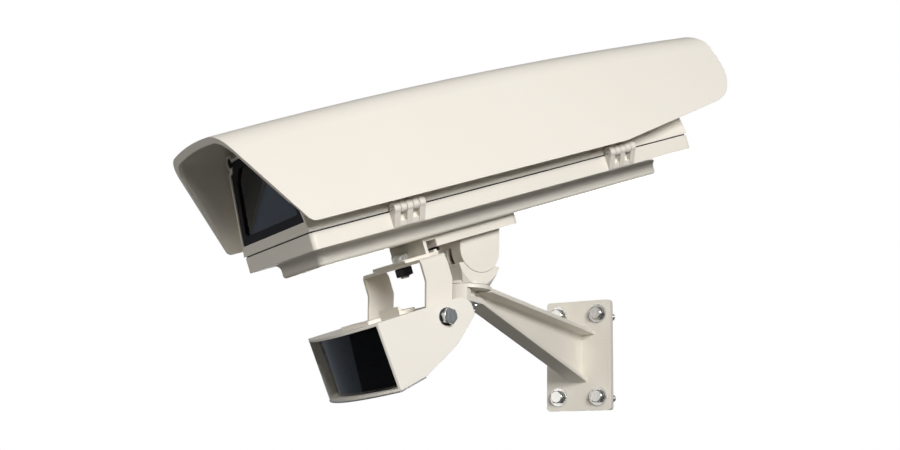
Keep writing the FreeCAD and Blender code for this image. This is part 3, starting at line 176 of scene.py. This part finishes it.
grainGroups = {"coat": buildCoatGroup(), "plate": buildPlateGroup(), "mould": buildMouldGroup()}
print("shader groups built:", len(grainGroups))

# Finishes: low and high are the two tones of the grain, rough its two roughnesses, set the group's own
# values, depth the height of the bump and edge the radius of shaded edges, both in metres
finishes = {
    "coat_bracket": {"grain": "coat", "low": (0.788, 0.748, 0.666), "high": (0.857, 0.82, 0.74),
                     "rough": (0.36, 0.46), "set": {"Peel": 520.0, "Waves": 2.2, "Cloud": 14.0},
                     "depth": 0.00016, "edge": 0.0008},
    "coat_head": {"grain": "coat", "low": (0.798, 0.758, 0.675), "high": (0.867, 0.83, 0.749),
                  "rough": (0.34, 0.44), "set": {"Peel": 560.0, "Waves": 1.6, "Cloud": 14.0},
                  "depth": 0.00013, "edge": 0.0006},
    "coat_housing": {"grain": "coat", "low": (0.832, 0.791, 0.708), "high": (0.877, 0.84, 0.763),
                     "rough": (0.30, 0.38), "set": {"Peel": 700.0, "Waves": 0.6, "Cloud": 8.0},
                     "depth": 0.00007, "edge": 0.0007},
    "coat_shield": {"grain": "coat", "low": (0.847, 0.806, 0.726), "high": (0.886, 0.849, 0.777),
                    "rough": (0.30, 0.37), "set": {"Peel": 750.0, "Waves": 0.5, "Cloud": 6.0},
                    "depth": 0.00006, "edge": 0.0006},
    "coat_fittings": {"grain": "coat", "low": (0.818, 0.777, 0.694), "high": (0.867, 0.83, 0.749),
                      "rough": (0.32, 0.40), "set": {"Peel": 700.0, "Waves": 0.4, "Cloud": 16.0},
                      "depth": 0.00006, "edge": 0.0005},
    "coat_lamp": {"grain": "coat", "low": (0.847, 0.811, 0.735), "high": (0.891, 0.854, 0.786),
                  "rough": (0.30, 0.38), "set": {"Peel": 700.0, "Waves": 0.5, "Cloud": 12.0},
                  "depth": 0.00006, "edge": 0.0006},
    "zinc": {"grain": "plate", "low": (0.55, 0.55, 0.54), "high": (0.80, 0.80, 0.78),
             "rough": (0.20, 0.34), "metal": 1.0, "set": {"Crystal": 1100.0},
             "depth": 0.00003, "edge": 0.0003},
    "black_steel": {"grain": "plate", "low": (0.018, 0.018, 0.02), "high": (0.045, 0.045, 0.05),
                    "rough": (0.30, 0.45), "metal": 0.6, "set": {"Crystal": 1300.0},
                    "depth": 0.00003, "edge": 0.0003},
    "aluminium": {"grain": "plate", "low": (0.66, 0.66, 0.66), "high": (0.84, 0.84, 0.83),
                  "rough": (0.28, 0.42), "metal": 1.0, "set": {"Crystal": 500.0},
                  "depth": 0.00004, "edge": 0.0003},
    "gasket": {"grain": "mould", "low": (0.006, 0.006, 0.009), "high": (0.016, 0.016, 0.021),
               "rough": (0.50, 0.68), "shine": 0.25, "set": {"Grain": 2200.0},
               "depth": 0.00005, "edge": 0.0003},
    "plastic_black": {"grain": "mould", "low": (0.014, 0.014, 0.015), "high": (0.035, 0.035, 0.037),
                      "rough": (0.38, 0.52), "set": {"Grain": 1700.0}, "depth": 0.00006, "edge": 0.0004},
    "terminals": {"grain": "mould", "low": (0.035, 0.16, 0.09), "high": (0.06, 0.23, 0.13),
                  "rough": (0.36, 0.46), "set": {"Grain": 1900.0}, "depth": 0.00004, "edge": 0.0003},
}


def newMaterial(name):
    material = bpy.data.materials.new(name)
    material.use_nodes = True
    tree = material.node_tree
    shader = tree.nodes["Principled BSDF"]
    coords = addNode(tree, "ShaderNodeTexCoord", -1100, 0)
    return material, tree, shader, coords


# Colour and roughness run between their low and high values with the grain; its height feeds a bump
def grainedMaterial(name, finish):
    material, tree, shader, coords = newMaterial(name)
    grain = addNode(tree, "ShaderNodeGroup", -850, 0)
    grain.node_tree = grainGroups[finish["grain"]]
    for label, value in finish["set"].items():
        grain.inputs[label].default_value = value
    colours = colourMix(tree, finish["low"], finish["high"], -450, 200)
    rough = rangeNode(tree, finish["rough"], -450, 0)
    bevel = addNode(tree, "ShaderNodeBevel", -450, -350, samples=4, Radius=finish["edge"])
    bump = addNode(tree, "ShaderNodeBump", -200, -200, Distance=finish["depth"])
    wire(tree, (coords, "Object", grain, "Vector"), (grain, "Tone", colours, "Factor"),
         (grain, "Gloss", rough, "Value"), (grain, "Height", bump, "Height"),
         (bevel, "Normal", bump, "Normal"), (colours, "Result", shader, "Base Color"),
         (rough, "Result", shader, "Roughness"), (bump, "Normal", shader, "Normal"))
    shader.inputs["Metallic"].default_value = finish.get("metal", 0.0)
    shader.inputs["Specular IOR Level"].default_value = finish.get("shine", 0.5)
    return material


materials = {name: grainedMaterial(name, finish) for name, finish in finishes.items()}

glasses = {
    "window": {"tint": (0.10, 0.12, 0.16), "rough": (0.0, 0.03), "ior": 1.5},
    "lamp_pane": {"tint": (0.015, 0.018, 0.028), "rough": (0.0, 0.04), "ior": 1.5},
    "emitter": {"tint": (0.25, 0.26, 0.36), "rough": (0.02, 0.08), "ior": 1.45},
}
paleShare = 1.25  # the glass is this much paler where its film is thickest


# Glass that a faint film, as wiping leaves it, makes a little uneven
def glassMaterial(name, glass):
    material, tree, shader, coords = newMaterial(name)
    film = addNode(tree, "ShaderNodeTexNoise", -850, 0, Scale=14.0, Detail=4.0)
    rough = rangeNode(tree, glass["rough"], -450, 0)
    tint = colourMix(tree, glass["tint"], [value * paleShare for value in glass["tint"]], -450, 200)
    wire(tree, (coords, "Object", film, "Vector"), (film, "Fac", rough, "Value"),
         (film, "Fac", tint, "Factor"), (tint, "Result", shader, "Base Color"),
         (rough, "Result", shader, "Roughness"))
    shader.inputs["IOR"].default_value = glass["ior"]
    shader.inputs["Transmission Weight"].default_value = 1.0
    return material


materials.update({name: glassMaterial(name, glass) for name, glass in glasses.items()})

boardFinish = {
    "tracks": 160.0, "gap": 0.06, "depth": 0.00008, "rough": (0.25, 0.4),
    "colours": {"Color1": (0.02, 0.13, 0.05), "Color2": (0.03, 0.16, 0.07), "Mortar": (0.07, 0.27, 0.11)},
    "turn": (-math.radians(headPose["tilt"]), 0.0, -math.radians(headPose["pan"])),
}


# Board: green lacquer over rows of copper tracks, which look paler and stand up a little
def boardMaterial(name):
    material, tree, shader, coords = newMaterial(name)
    straighten = addNode(tree, "ShaderNodeMapping", -1000, 0, Rotation=boardFinish["turn"])
    tracks = addNode(tree, "ShaderNodeTexBrick", -750, 0, Scale=boardFinish["tracks"])
    for label, colour in boardFinish["colours"].items():
        tracks.inputs[label].default_value = (*colour, 1)
    tracks.inputs["Mortar Size"].default_value = boardFinish["gap"]
    bump = addNode(tree, "ShaderNodeBump", -200, -200, Distance=boardFinish["depth"])
    rough = rangeNode(tree, boardFinish["rough"], -450, -50)
    wire(tree, (coords, "Object", straighten, "Vector"), (straighten, "Vector", tracks, "Vector"),
         (tracks, "Color", shader, "Base Color"), (tracks, "Fac", bump, "Height"),
         (tracks, "Fac", rough, "Value"), (rough, "Result", shader, "Roughness"),
         (bump, "Normal", shader, "Normal"))
    return material


materials["board"] = boardMaterial("board")
print("materials built:", len(materials))

for part in frame["record"]["subparts"]:
    cadNode = nodes[part["node"]]
    cadNode.data.materials.clear()
    cadNode.data.materials.append(materials[part["material_slot"]])
print("CAD nodes dressed")


# Turned pieces: bolts, nuts, screws, lenses and glands. A row is (height, radius), with its width across
# flats as third number on a hexagon, and as fourth the share of the ribs' depth that is cut there.
# Grid (row, angle): r = min(radius, half the flats / cos(angle from the nearest flat)) - ribs, z = height
def turnedGrid(rows, around, ribCount=0, ribDepth=0.0):
    heights, limits, flats, ribbed = np.array([(*row, 0, 0)[:4] for row in rows], float).T
    angle = np.linspace(0, 2 * np.pi, around, endpoint=False)
    fromFlat = np.mod(angle, np.pi / 3) - np.pi / 6
    hexRadius = (flats / 2)[:, None] / np.cos(fromFlat)[None, :]
    onHex = flats[:, None] > 0
    radius = np.where(onHex, np.minimum(limits[:, None], hexRadius), limits[:, None])
    wave = (0.5 + 0.5 * np.cos(ribCount * angle)) ** 0.6  # a power under 1 keeps the ribs narrow
    radius = radius - ribDepth * ribbed[:, None] * wave[None, :]
    x, y = radius * np.cos(angle), radius * np.sin(angle)
    return np.stack([x, y, np.repeat(heights[:, None], around, 1)], axis=2)


# Thread: r = crest - depth * |2 frac(z / pitch - angle / 2 pi) - 1|, over the rows between two heights
def threadGrid(grid, low, high, pitch, depth):
    angle = np.arctan2(grid[..., 1], grid[..., 0])
    phase = np.mod(grid[..., 2] / pitch - angle / (2 * np.pi), 1.0)
    groove = depth * np.abs(2 * phase - 1) * ((grid[..., 2] > low) & (grid[..., 2] < high))
    crest = np.hypot(grid[..., 0], grid[..., 1])
    grid[..., :2] *= ((crest - groove) / crest)[..., None]
    return grid


# Quads between neighbouring rows and angles; a ring's last row meets its first
def gridFaces(rowCount, around, ring):
    index = np.arange(rowCount * around).reshape(rowCount, around)
    upper = np.roll(index, -1, axis=0) if ring else index[1:]
    lower = index if ring else index[:-1]
    quads = np.stack([lower, np.roll(lower, -1, axis=1), np.roll(upper, -1, axis=1), upper], axis=2)
    return quads.reshape(-1, 4)


# Triangles from the first row to one point and from the last row to another, which close both ends
def capFaces(rowCount, around):
    first = np.arange(around)
    last = first + (rowCount - 1) * around
    foot = np.full(around, rowCount * around)
    low = np.stack([foot, np.roll(first, -1), first], axis=1)
    high = np.stack([foot + 1, last, np.roll(last, -1)], axis=1)
    return np.vstack([low, high])


# Matrix that puts the origin on the base and the Z axis along the direction
def axisFrame(base, direction):
    turn = Vector((0, 0, 1)).rotation_difference(Vector(direction)).to_matrix().to_4x4()
    return Matrix.Translation(base) @ turn


sharpAngle = math.radians(35)  # edges past this angle stay sharp in smooth shading


# One object from copies of one grid, each set on its own base and direction, which are given in the
# housing's frame unless the set names another place
def turnedPiece(name, kind, grid, ring=False):
    rowCount, around, _ = grid.shape
    points = grid.reshape(-1, 3)
    quads = gridFaces(rowCount, around, ring)
    caps = np.empty((0, 3), int)
    if not ring:
        points = np.vstack([points, grid[0].mean(axis=0), grid[-1].mean(axis=0)])
        caps = capFaces(rowCount, around)
    place = kind.get("place", housingFrame)
    allPoints, allQuads, allCaps = [], [], []
    for copy, (base, direction) in enumerate(kind["at"]):
        matrix = np.array(place @ axisFrame(base, direction))
        allPoints.append(points @ matrix[:3, :3].T + matrix[:3, 3])
        allQuads.append(quads + copy * len(points))
        allCaps.append(caps + copy * len(points))
    mesh = bpy.data.meshes.new(name)
    faces = np.vstack(allQuads).tolist() + np.vstack(allCaps).tolist()
    mesh.from_pydata(np.vstack(allPoints).tolist(), [], faces)
    mesh.polygons.foreach_set("use_smooth", np.ones(len(mesh.polygons), bool))
    mesh.set_sharp_from_angle(angle=sharpAngle)
    mesh.materials.append(materials[kind["slot"]])
    mesh.update()
    piece = bpy.data.objects.new(name, mesh)
    bpy.context.scene.collection.objects.link(piece)
    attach(piece, kind["body"])
    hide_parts(kind["cad"])


# Shares of the width across flats: the flat end face, the crown's steps and a limit past the corners
hexShape = {"inner": 0.44, "face": 0.47, "step": 0.0185, "steps": 7, "slope": 0.58, "past": 0.6}


# Rows from the end face of a hexagon to its foot: the crown turns the corners off on a cone of 30 degrees
def crownRows(across, top, foot):
    rows = [(top, across * hexShape["inner"]), (top, across * hexShape["face"])]
    for step in range(hexShape["steps"]):
        growth = across * hexShape["step"] * step
        drop = math.copysign(growth * hexShape["slope"], foot - top)
        rows.append((top + drop, across * hexShape["face"] + growth, across))
    return rows + [(foot, across * hexShape["past"], across)]


# Collar as shares of the head's height and width, tip as shares of the shank's radius, thread as a share
# of its pitch; lead is in metres
boltShape = {"collar": 0.06, "collarRadius": 0.475, "tip": 0.25, "tipRadius": 0.78, "tipCentre": 0.3,
             "threadDepth": 0.5, "rowsPerTurn": 8, "lead": 0.0001, "around": 48}


# Bolt seated at 0: head with a crown and a collar below, shank above, thinner up to its neck where it has
# one, then threaded from a height to its tip, which tapers
def boltGrid(bolt):
    radius, pitch, length = bolt["radius"], bolt["pitch"], bolt["length"]
    collar, collarRadius = -bolt["head"] * boltShape["collar"], bolt["across"] * boltShape["collarRadius"]
    rows = crownRows(bolt["across"], -bolt["head"], collar) + [(collar, collarRadius), (0, collarRadius)]
    if "neck" in bolt:
        neckRadius, neckLength = bolt["neck"]
        rows += [(0, neckRadius), (neckLength, neckRadius), (neckLength, radius)]
    else:
        rows += [(0, radius)]
    tip = length - radius * boltShape["tip"]
    threadRows = int((tip - bolt["from"]) / pitch * boltShape["rowsPerTurn"]) + 2
    rows += [(bolt["from"] - boltShape["lead"], radius)]
    rows += [(z, radius) for z in np.linspace(bolt["from"], tip, threadRows)]
    rows += [(length, radius * boltShape["tipRadius"]), (length, radius * boltShape["tipCentre"])]
    grid = turnedGrid(rows, boltShape["around"])
    return threadGrid(grid, bolt["from"], tip, pitch, pitch * boltShape["threadDepth"])


# Each set names its body, finish and CAD node, and its sizes in metres: from is where the thread starts,
# neck the radius and length of a thinner part, at where each bolt is seated and which way its shank points
boltSets = {
    "wallBolts": {"body": "bracket", "slot": "zinc", "cad": "wall_bolts", "place": wallFrame,
                  "across": 0.013, "head": 0.0055, "radius": 0.004, "length": 0.038, "pitch": 0.00125,
                  "from": 0.012, "neck": (0.0036, 0.007),
                  "at": [((x, -0.008, z), (0, 1, 0)) for x in (-0.024, 0.024) for z in (-0.045, 0.045)]},
    "clampBolt": {"body": "saddle", "slot": "zinc", "cad": "clamp_bolt", "place": saddleFrame,
                  "across": 0.013, "head": 0.0053, "radius": 0.004, "length": 0.04605, "pitch": 0.00125,
                  "from": 0.030, "at": [((0, 0, -0.05055), (0, 0, 1))]},
    "adaptorBolts": {"body": "head", "slot": "black_steel", "cad": "adaptor_bolts",
                     "across": 0.010, "head": 0.004, "radius": 0.003, "length": 0.0174, "pitch": 0.001,
                     "from": 0.008, "at": [((0, y, -0.0396), (0, 0, 1)) for y in (0.156, 0.2268)]},
    "hangerBolts": {"body": "head", "slot": "zinc", "cad": "hanger_bolts",
                    "across": 0.008, "head": 0.0035, "radius": 0.0025, "length": 0.0105, "pitch": 0.0008,
                    "from": 0.005, "at": [((x, 0.1365, -0.0327), (0, 0, 1)) for x in (-0.019, 0.019)]},
    "yokeBolt": {"body": "head", "slot": "zinc", "cad": "yoke_bolt",
                 "across": 0.016, "head": 0.006, "radius": 0.005, "length": 0.0162, "pitch": 0.0015,
                 "from": 0.0062, "at": [((0, 0.1185, -0.0438), (0, 0, -1))]},
    "lampPivotBolts": {"body": "lamp", "slot": "zinc", "cad": "lamp_pivot_bolts",
                       "across": 0.013, "head": 0.0055, "radius": 0.004, "length": 0.026, "pitch": 0.00125,
                       "from": 0.017,
                       "at": [((side * 0.0735, 0.1068, -0.1023), (-side, 0, 0)) for side in (-1, 1)]},
}
for name, bolt in boltSets.items():
    turnedPiece(name, bolt, boltGrid(bolt))
print("bolts turned:", len(boltSets))

nutShape = {"mouth": 1.12, "chamfer": 0.12, "around": 48}  # shares of the bore's radius, and the angles


# Nut on 0 to height as a closed ring: a crown at each end, the flats between them, and the bore
def nutGrid(nut):
    height, bore = nut["height"], nut["bore"]
    mouth, chamfer = bore * nutShape["mouth"], bore * nutShape["chamfer"]
    upper = crownRows(nut["across"], height, height / 2)[1:]
    lower = crownRows(nut["across"], 0, height / 2)[1:-1]
    rows = [(height, mouth)] + upper + lower[::-1]
    rows += [(0, mouth), (chamfer, bore), (height - chamfer, bore)]
    return turnedGrid(rows[::-1], nutShape["around"])


# Sizes in metres; at gives where each nut lies and which way it stands up
nutSets = {
    "clampNut": {"body": "saddle", "slot": "zinc", "cad": "clamp_nut", "place": saddleFrame, "across": 0.013,
                 "height": 0.0065, "bore": 0.004, "at": [((0, 0, -0.0125), (0, 0, 1))]},
    "yokeNut": {"body": "head", "slot": "black_steel", "cad": "yoke_nut", "across": 0.016,
                "height": 0.008, "bore": 0.005, "at": [((0, 0.1185, -0.0501), (0, 0, -1))]},
    "glandNuts": {"body": "head", "slot": "plastic_black", "cad": "gland_nuts",
                  "across": 0.016, "height": 0.004, "bore": 0.006,
                  "at": [((x, 0.4352, 0.020), (0, -1, 0)) for x in (-0.03, 0, 0.03)]},
}
for name, nut in nutSets.items():
    turnedPiece(name, nut, nutGrid(nut), ring=True)
print("nuts turned:", len(nutSets))


# Head and socket as shares of the shank's radius, the socket's floor as shares of the head's height
domedShape = {"head": 1.9, "height": 1.1, "socket": 1.3, "floor": 0.3, "floorEdge": 0.27, "centre": 0.3,
              "from": 40, "step": 8, "steps": 7, "around": 48}


# Domed screw with a hexagon socket, seated at 0 with its shank above. Over an angle that grows from the
# socket's edge outwards, the dome's radius runs with the sine and its height with the root of a cosine
def socketScrewGrid(radius, length):
    shape = domedShape
    headRadius, headHeight = radius * shape["head"], radius * shape["height"]
    socket = radius * shape["socket"]
    rows = [(-headHeight * shape["floor"], socket * shape["centre"]),
            (-headHeight * shape["floorEdge"], socket, socket), (-headHeight, socket, socket)]
    for step in range(shape["steps"]):
        turn = math.radians(step * shape["step"])
        height = headHeight * math.cos(turn) ** 0.5 * (1 - step / 12)
        rows.append((-height, headRadius * math.sin(math.radians(shape["from"]) + turn)))
    rows += [(0, headRadius), (0, radius), (length, radius)]
    return turnedGrid(rows, shape["around"])


# Head, socket and its floor as shares of the shank's radius, mouth as a share of the socket; rim and
# clear, by which the head is smaller than its countersink, in metres
flushShape = {"head": 2.0, "socket": 1.2, "floor": 0.75, "floorEdge": 0.7, "centre": 0.3, "mouth": 0.56,
              "rim": 0.0001, "clear": 0.0002, "around": 48}


# Countersunk screw with a hexagon socket: its flat head lies at 0, its cone narrows to the shank above
def flushScrewGrid(radius, length):
    shape = flushShape
    rim, clear = shape["rim"], shape["clear"]
    edge, socket = radius * shape["head"] - clear, radius * shape["socket"]
    rows = [(radius * shape["floor"], socket * shape["centre"]),
            (radius * shape["floorEdge"], socket, socket), (rim, socket, socket),
            (0, socket * shape["mouth"]), (0, edge - rim), (rim, edge),
            (radius - clear, radius), (length, radius)]
    return turnedGrid(rows, shape["around"])


# Shares of the rim's radius
lensShape = {"foot": 0.9, "rim": 0.3, "bodyFrom": 0.34, "body": 0.92, "step": 10.5, "steps": 8, "around": 32}


# Emitter: a rim at 0, a straight body and a round lens, whose height and radius are a circle's
def lensGrid(radius):
    shape = lensShape
    body = radius * shape["body"]
    rows = [(0, radius * shape["foot"]), (0, radius), (radius * shape["rim"], radius),
            (radius * shape["bodyFrom"], body), (radius, body)]
    for step in range(1, shape["steps"] + 1):
        turn = math.radians(step * shape["step"])
        rows.append((radius + radius * math.sin(turn), body * math.cos(turn)))
    return turnedGrid(rows, shape["around"])


# Grids are given their radius and length in metres; at gives where each lies and which way its shank or
# lens points
smallSets = {
    "panelScrews": {"body": "lid", "slot": "zinc", "cad": "panel_screws",
                    "grid": socketScrewGrid(0.0025, 0.016),
                    "at": [((side * x, 0.4385, z), (0, -1, 0))
                           for side in (-1, 1) for x, z in ((0.047, 0.0865), (0.0655, 0.009))]},
    "lampPlateScrews": {"body": "lamp", "slot": "zinc", "cad": "lamp_plate_screws",
                        "grid": socketScrewGrid(0.0015, 0.0033),
                        "at": [((side * 0.058, 0.057, -0.149467), (0, -0.1644, 0.9864)) for side in (-1, 1)]},
    "shieldScrews": {"body": "lid", "slot": "zinc", "cad": "shield_screws",
                     "grid": flushScrewGrid(0.002, 0.0216),
                     "at": [((side * 0.030, y, z), (0, 0, -1))
                            for side in (-1, 1) for y, z in ((0.095, 0.108107), (0.345, 0.10852))]},
    "slideScrews": {"body": "head", "slot": "zinc", "cad": "slide_screws",
                    "grid": flushScrewGrid(0.0025, 0.0088),
                    "at": [((side * 0.020, y, -0.0092), (0, 0, -1))
                           for side in (-1, 1) for y in (0.075, 0.305)]},
    "rockerScrews": {"body": "head", "slot": "zinc", "cad": "rocker_screws",
                     "grid": flushScrewGrid(0.003, 0.0108),
                     "at": [((side * 0.013, y, -0.0328), (0, 0, -1))
                            for side in (-1, 1) for y in (0.1798, 0.2058)]},
    "ledLenses": {"body": "lamp", "slot": "emitter", "cad": "led_emitters", "grid": lensGrid(0.003),
                  "at": [((column * 0.015, 0.064, -0.119 + row * 0.009), (0, -1, 0))
                         for column in range(-3, 4) for row in (-1, 1)]},
}
for name, small in smallSets.items():
    turnedPiece(name, small, small["grid"])
print("small screws and lenses turned:", len(smallSets))

# Cable gland: heights in metres above the wall that it stands on; lip, bush and bore are shares of the
# thread's radius
glandShape = {"crown": 0.0002, "cornersTo": 0.0034, "bevelTo": 0.0038, "flange": 0.004,
              "grooveFrom": 0.0042, "grooveTo": 0.0046, "nutFrom": 0.0048, "ribsFrom": 0.0052,
              "ribsTo": 0.011, "dome": 0.004, "lip": 0.72, "bush": 0.62, "bore": 0.55, "bushDrop": 0.0015,
              "end": 0.0006, "ribs": 16, "ribDepth": 0.0011, "around": 96}


# Gland as a closed ring: thread inside the wall, hexagon flange, groove, ribbed nut whose dome is a
# quarter circle down to its lip, and a rubber bush that is hollow for the cord
def glandGrid(radius, across, inside):
    shape = glandShape
    nut, lip, bore = across * 0.47, radius * shape["lip"], radius * shape["bore"]
    rows = [(-inside, bore), (-inside, radius * 0.92), (-inside + shape["end"], radius), (0, radius),
            (0, across * 0.48)]
    rows += [(shape["crown"] * (1 + step), across * (0.5 + 0.02 * step), across) for step in range(6)]
    rows += [(shape["cornersTo"], across * 0.6, across), (shape["bevelTo"], across * 0.54, across),
             (shape["flange"], across * 0.49), (shape["grooveFrom"], nut * 0.93),
             (shape["grooveTo"], nut * 0.93), (shape["nutFrom"], nut)]
    ribLength = shape["ribsTo"] - shape["ribsFrom"]
    rows += [(shape["ribsFrom"] + ribLength * step / 6, nut, 0, int(0 < step < 6)) for step in range(7)]
    for step in range(1, 8):
        turn = math.radians(step * 12.5)
        fade = max(0.0, 0.8 - step * 0.16)
        height = shape["ribsTo"] + shape["dome"] * math.sin(turn)
        rows.append((height, lip + (nut - lip) * math.cos(turn), 0, fade))
    top = shape["ribsTo"] + shape["dome"]
    rows += [(top, radius * shape["bush"]), (top - shape["bushDrop"], bore)]
    return turnedGrid(rows, shape["around"], shape["ribs"], shape["ribDepth"])


lampGlandAxis = tuple(Vector((0, 16.5, -38)).normalized())  # square to the lamp's sloping wall
# Inside is how far the thread reaches through the wall; at gives where each stands and which way
glandSets = {
    "cableGlands": {"body": "head", "slot": "plastic_black", "cad": "cable_glands",
                    "radius": 0.006, "across": 0.016, "inside": 0.0093,
                    "at": [((x, 0.4385, 0.020), (0, 1, 0)) for x in (-0.03, 0, 0.03)]},
    "lampGland": {"body": "lamp", "slot": "plastic_black", "cad": "lamp_gland",
                  "radius": 0.005, "across": 0.014, "inside": 0.0023,
                  "at": [((0, 0.096, -0.1356), lampGlandAxis)]},
}
for name, gland in glandSets.items():
    grid = glandGrid(gland["radius"], gland["across"], gland["inside"])
    turnedPiece(name, gland, grid, ring=True)
print("glands turned:", len(glandSets))

# Camera: place in metres; yaw to the left, pitch up and roll to the left in degrees; lens and sensor in mm
cameraFit = {"yaw": 32.967, "pitch": 11.672, "roll": 0.936, "place": (0.6580, -1.2835, -0.1515),
             "lens": 52.2, "sensor": 36.0}


def buildCamera():
    yaw, pitch, roll = (math.radians(cameraFit[name]) for name in ("yaw", "pitch", "roll"))
    forward = Vector((-math.sin(yaw) * math.cos(pitch), math.cos(yaw) * math.cos(pitch), math.sin(pitch)))
    right = Vector((math.cos(yaw), math.sin(yaw), 0))
    up = right.cross(forward)
    turnedRight = right * math.cos(roll) + up * math.sin(roll)
    turnedUp = up * math.cos(roll) - right * math.sin(roll)
    camera = bpy.data.objects.new("camera", bpy.data.cameras.new("camera"))
    camera.data.sensor_width = cameraFit["sensor"]
    camera.data.lens = cameraFit["lens"]
    turn = Matrix((turnedRight, turnedUp, -forward)).transposed().to_4x4()
    camera.matrix_world = Matrix.Translation(cameraFit["place"]) @ turn
    bpy.context.scene.collection.objects.link(camera)
    bpy.context.scene.camera = camera


# Round area lamps: direction from the object's middle, distance and width in metres, power in watts
lightRig = {
    "key": {"toward": (0.78, -0.59, 0.21), "far": 2.4, "size": 1.0, "power": 54.0,
            "colour": (1.0, 0.99, 0.98)},
    "front": {"toward": (-0.50, -0.86, 0.10), "far": 2.6, "size": 2.4, "power": 20.0,
              "colour": (1.0, 0.97, 0.93)},
    "rear": {"toward": (-0.36, 0.93, -0.04), "far": 2.8, "size": 1.8, "power": 45.0,
             "colour": (1.0, 0.98, 0.95)},
}


def buildLights():
    middle = sum((Vector(corner) for corner in cadBox), Vector()) / 2
    for name, lamp in lightRig.items():
        light = bpy.data.lights.new(name, "AREA")
        light.shape = "DISK"
        light.size = lamp["size"]
        light.energy = lamp["power"]
        light.color = lamp["colour"]
        holder = bpy.data.objects.new(name, light)
        toward = Vector(lamp["toward"]).normalized()
        aim = toward.to_track_quat("Z", "Y").to_matrix().to_4x4()
        holder.matrix_world = Matrix.Translation(middle + toward * lamp["far"]) @ aim
        bpy.context.scene.collection.objects.link(holder)


# 1 for rays from the camera or through glass, which see a white background, and 0 for all that give light
def seesWhite(tree, path):
    return mathNode(tree, "MAXIMUM", ((path, "Is Camera Ray"), (path, "Is Transmission Ray")), -450, 300)


worldLight = {"above": 0.05, "below": 0.11, "colour": (1.0, 0.98, 0.95), "gloss": 0.20,
              "glossColour": (0.78, 0.88, 1.0), "glossEdge": (-0.55, -0.35), "white": (1.0, 1.0, 1.0)}


# World: white to the camera and through glass. Gloss sees a cool light, weaker from the front (-Y). The
# rest gets a soft light, which is stronger from below, as from a pale floor
def buildWorld():
    world = bpy.data.worlds.new("studio")
    bpy.context.scene.world = world
    world.use_nodes = True
    tree = world.node_tree
    tree.nodes.clear()
    coords = addNode(tree, "ShaderNodeTexCoord", -900, 0)
    split = addNode(tree, "ShaderNodeSeparateXYZ", -700, 0)
    rise = rangeNode(tree, (worldLight["below"], worldLight["above"]), -500, 0, fromRange=(-1.0, 1.0))
    behind = rangeNode(tree, (worldLight["below"], worldLight["gloss"]), -500, -250, worldLight["glossEdge"])
    soft = addNode(tree, "ShaderNodeBackground", -250, 100, Color=(*worldLight["colour"], 1))
    cool = addNode(tree, "ShaderNodeBackground", -250, -250, Color=(*worldLight["glossColour"], 1))
    white = addNode(tree, "ShaderNodeBackground", -250, -100, Color=(*worldLight["white"], 1))
    path = addNode(tree, "ShaderNodeLightPath", -700, 300)
    shine = addNode(tree, "ShaderNodeMixShader", -100, 50)
    pick = addNode(tree, "ShaderNodeMixShader", 0, 0)
    out = addNode(tree, "ShaderNodeOutputWorld", 200, 0)
    wire(tree, (coords, "Generated", split, "Vector"), (split, "Z", rise, "Value"),
         (rise, "Result", soft, "Strength"), (split, "Y", behind, "Value"),
         (behind, "Result", cool, "Strength"), (path, "Is Glossy Ray", shine, "Fac"),
         (soft, "Background", shine, 1), (cool, "Background", shine, 2),
         (seesWhite(tree, path), 0, pick, "Fac"), (shine, "Shader", pick, 1),
         (white, "Background", pick, 2), (pick, "Shader", out, "Surface"))


floorAt = {"z": -1.5, "half": 4.0, "colour": (0.24, 0.237, 0.232), "white": (1.0, 1.0, 1.0)}


# Floor: a sheet well below the object, which hangs on a wall; white to the camera, as the world is
def buildFloor():
    half, z = floorAt["half"], floorAt["z"]
    mesh = bpy.data.meshes.new("floor")
    corners = [(-half, -half, z), (half, -half, z), (half, half, z), (-half, half, z)]
    mesh.from_pydata(corners, [], [(0, 1, 2, 3)])
    material = bpy.data.materials.new("floor")
    material.use_nodes = True
    tree = material.node_tree
    tree.nodes.clear()
    dull = addNode(tree, "ShaderNodeBsdfDiffuse", -250, 0, Color=(*floorAt["colour"], 1))
    white = addNode(tree, "ShaderNodeEmission", -250, -150, Color=(*floorAt["white"], 1))
    path = addNode(tree, "ShaderNodeLightPath", -700, 300)
    pick = addNode(tree, "ShaderNodeMixShader", 0, 0)
    out = addNode(tree, "ShaderNodeOutputMaterial", 200, 0)
    wire(tree, (seesWhite(tree, path), 0, pick, "Fac"), (dull, "BSDF", pick, 1),
         (white, "Emission", pick, 2), (pick, "Shader", out, "Surface"))
    mesh.materials.append(material)
    floor = bpy.data.objects.new("floor", mesh)
    bpy.context.scene.collection.objects.link(floor)


buildCamera()
buildLights()
buildWorld()
buildFloor()
bpy.context.scene.view_settings.view_transform = "Standard"
print("camera, light and floor set")
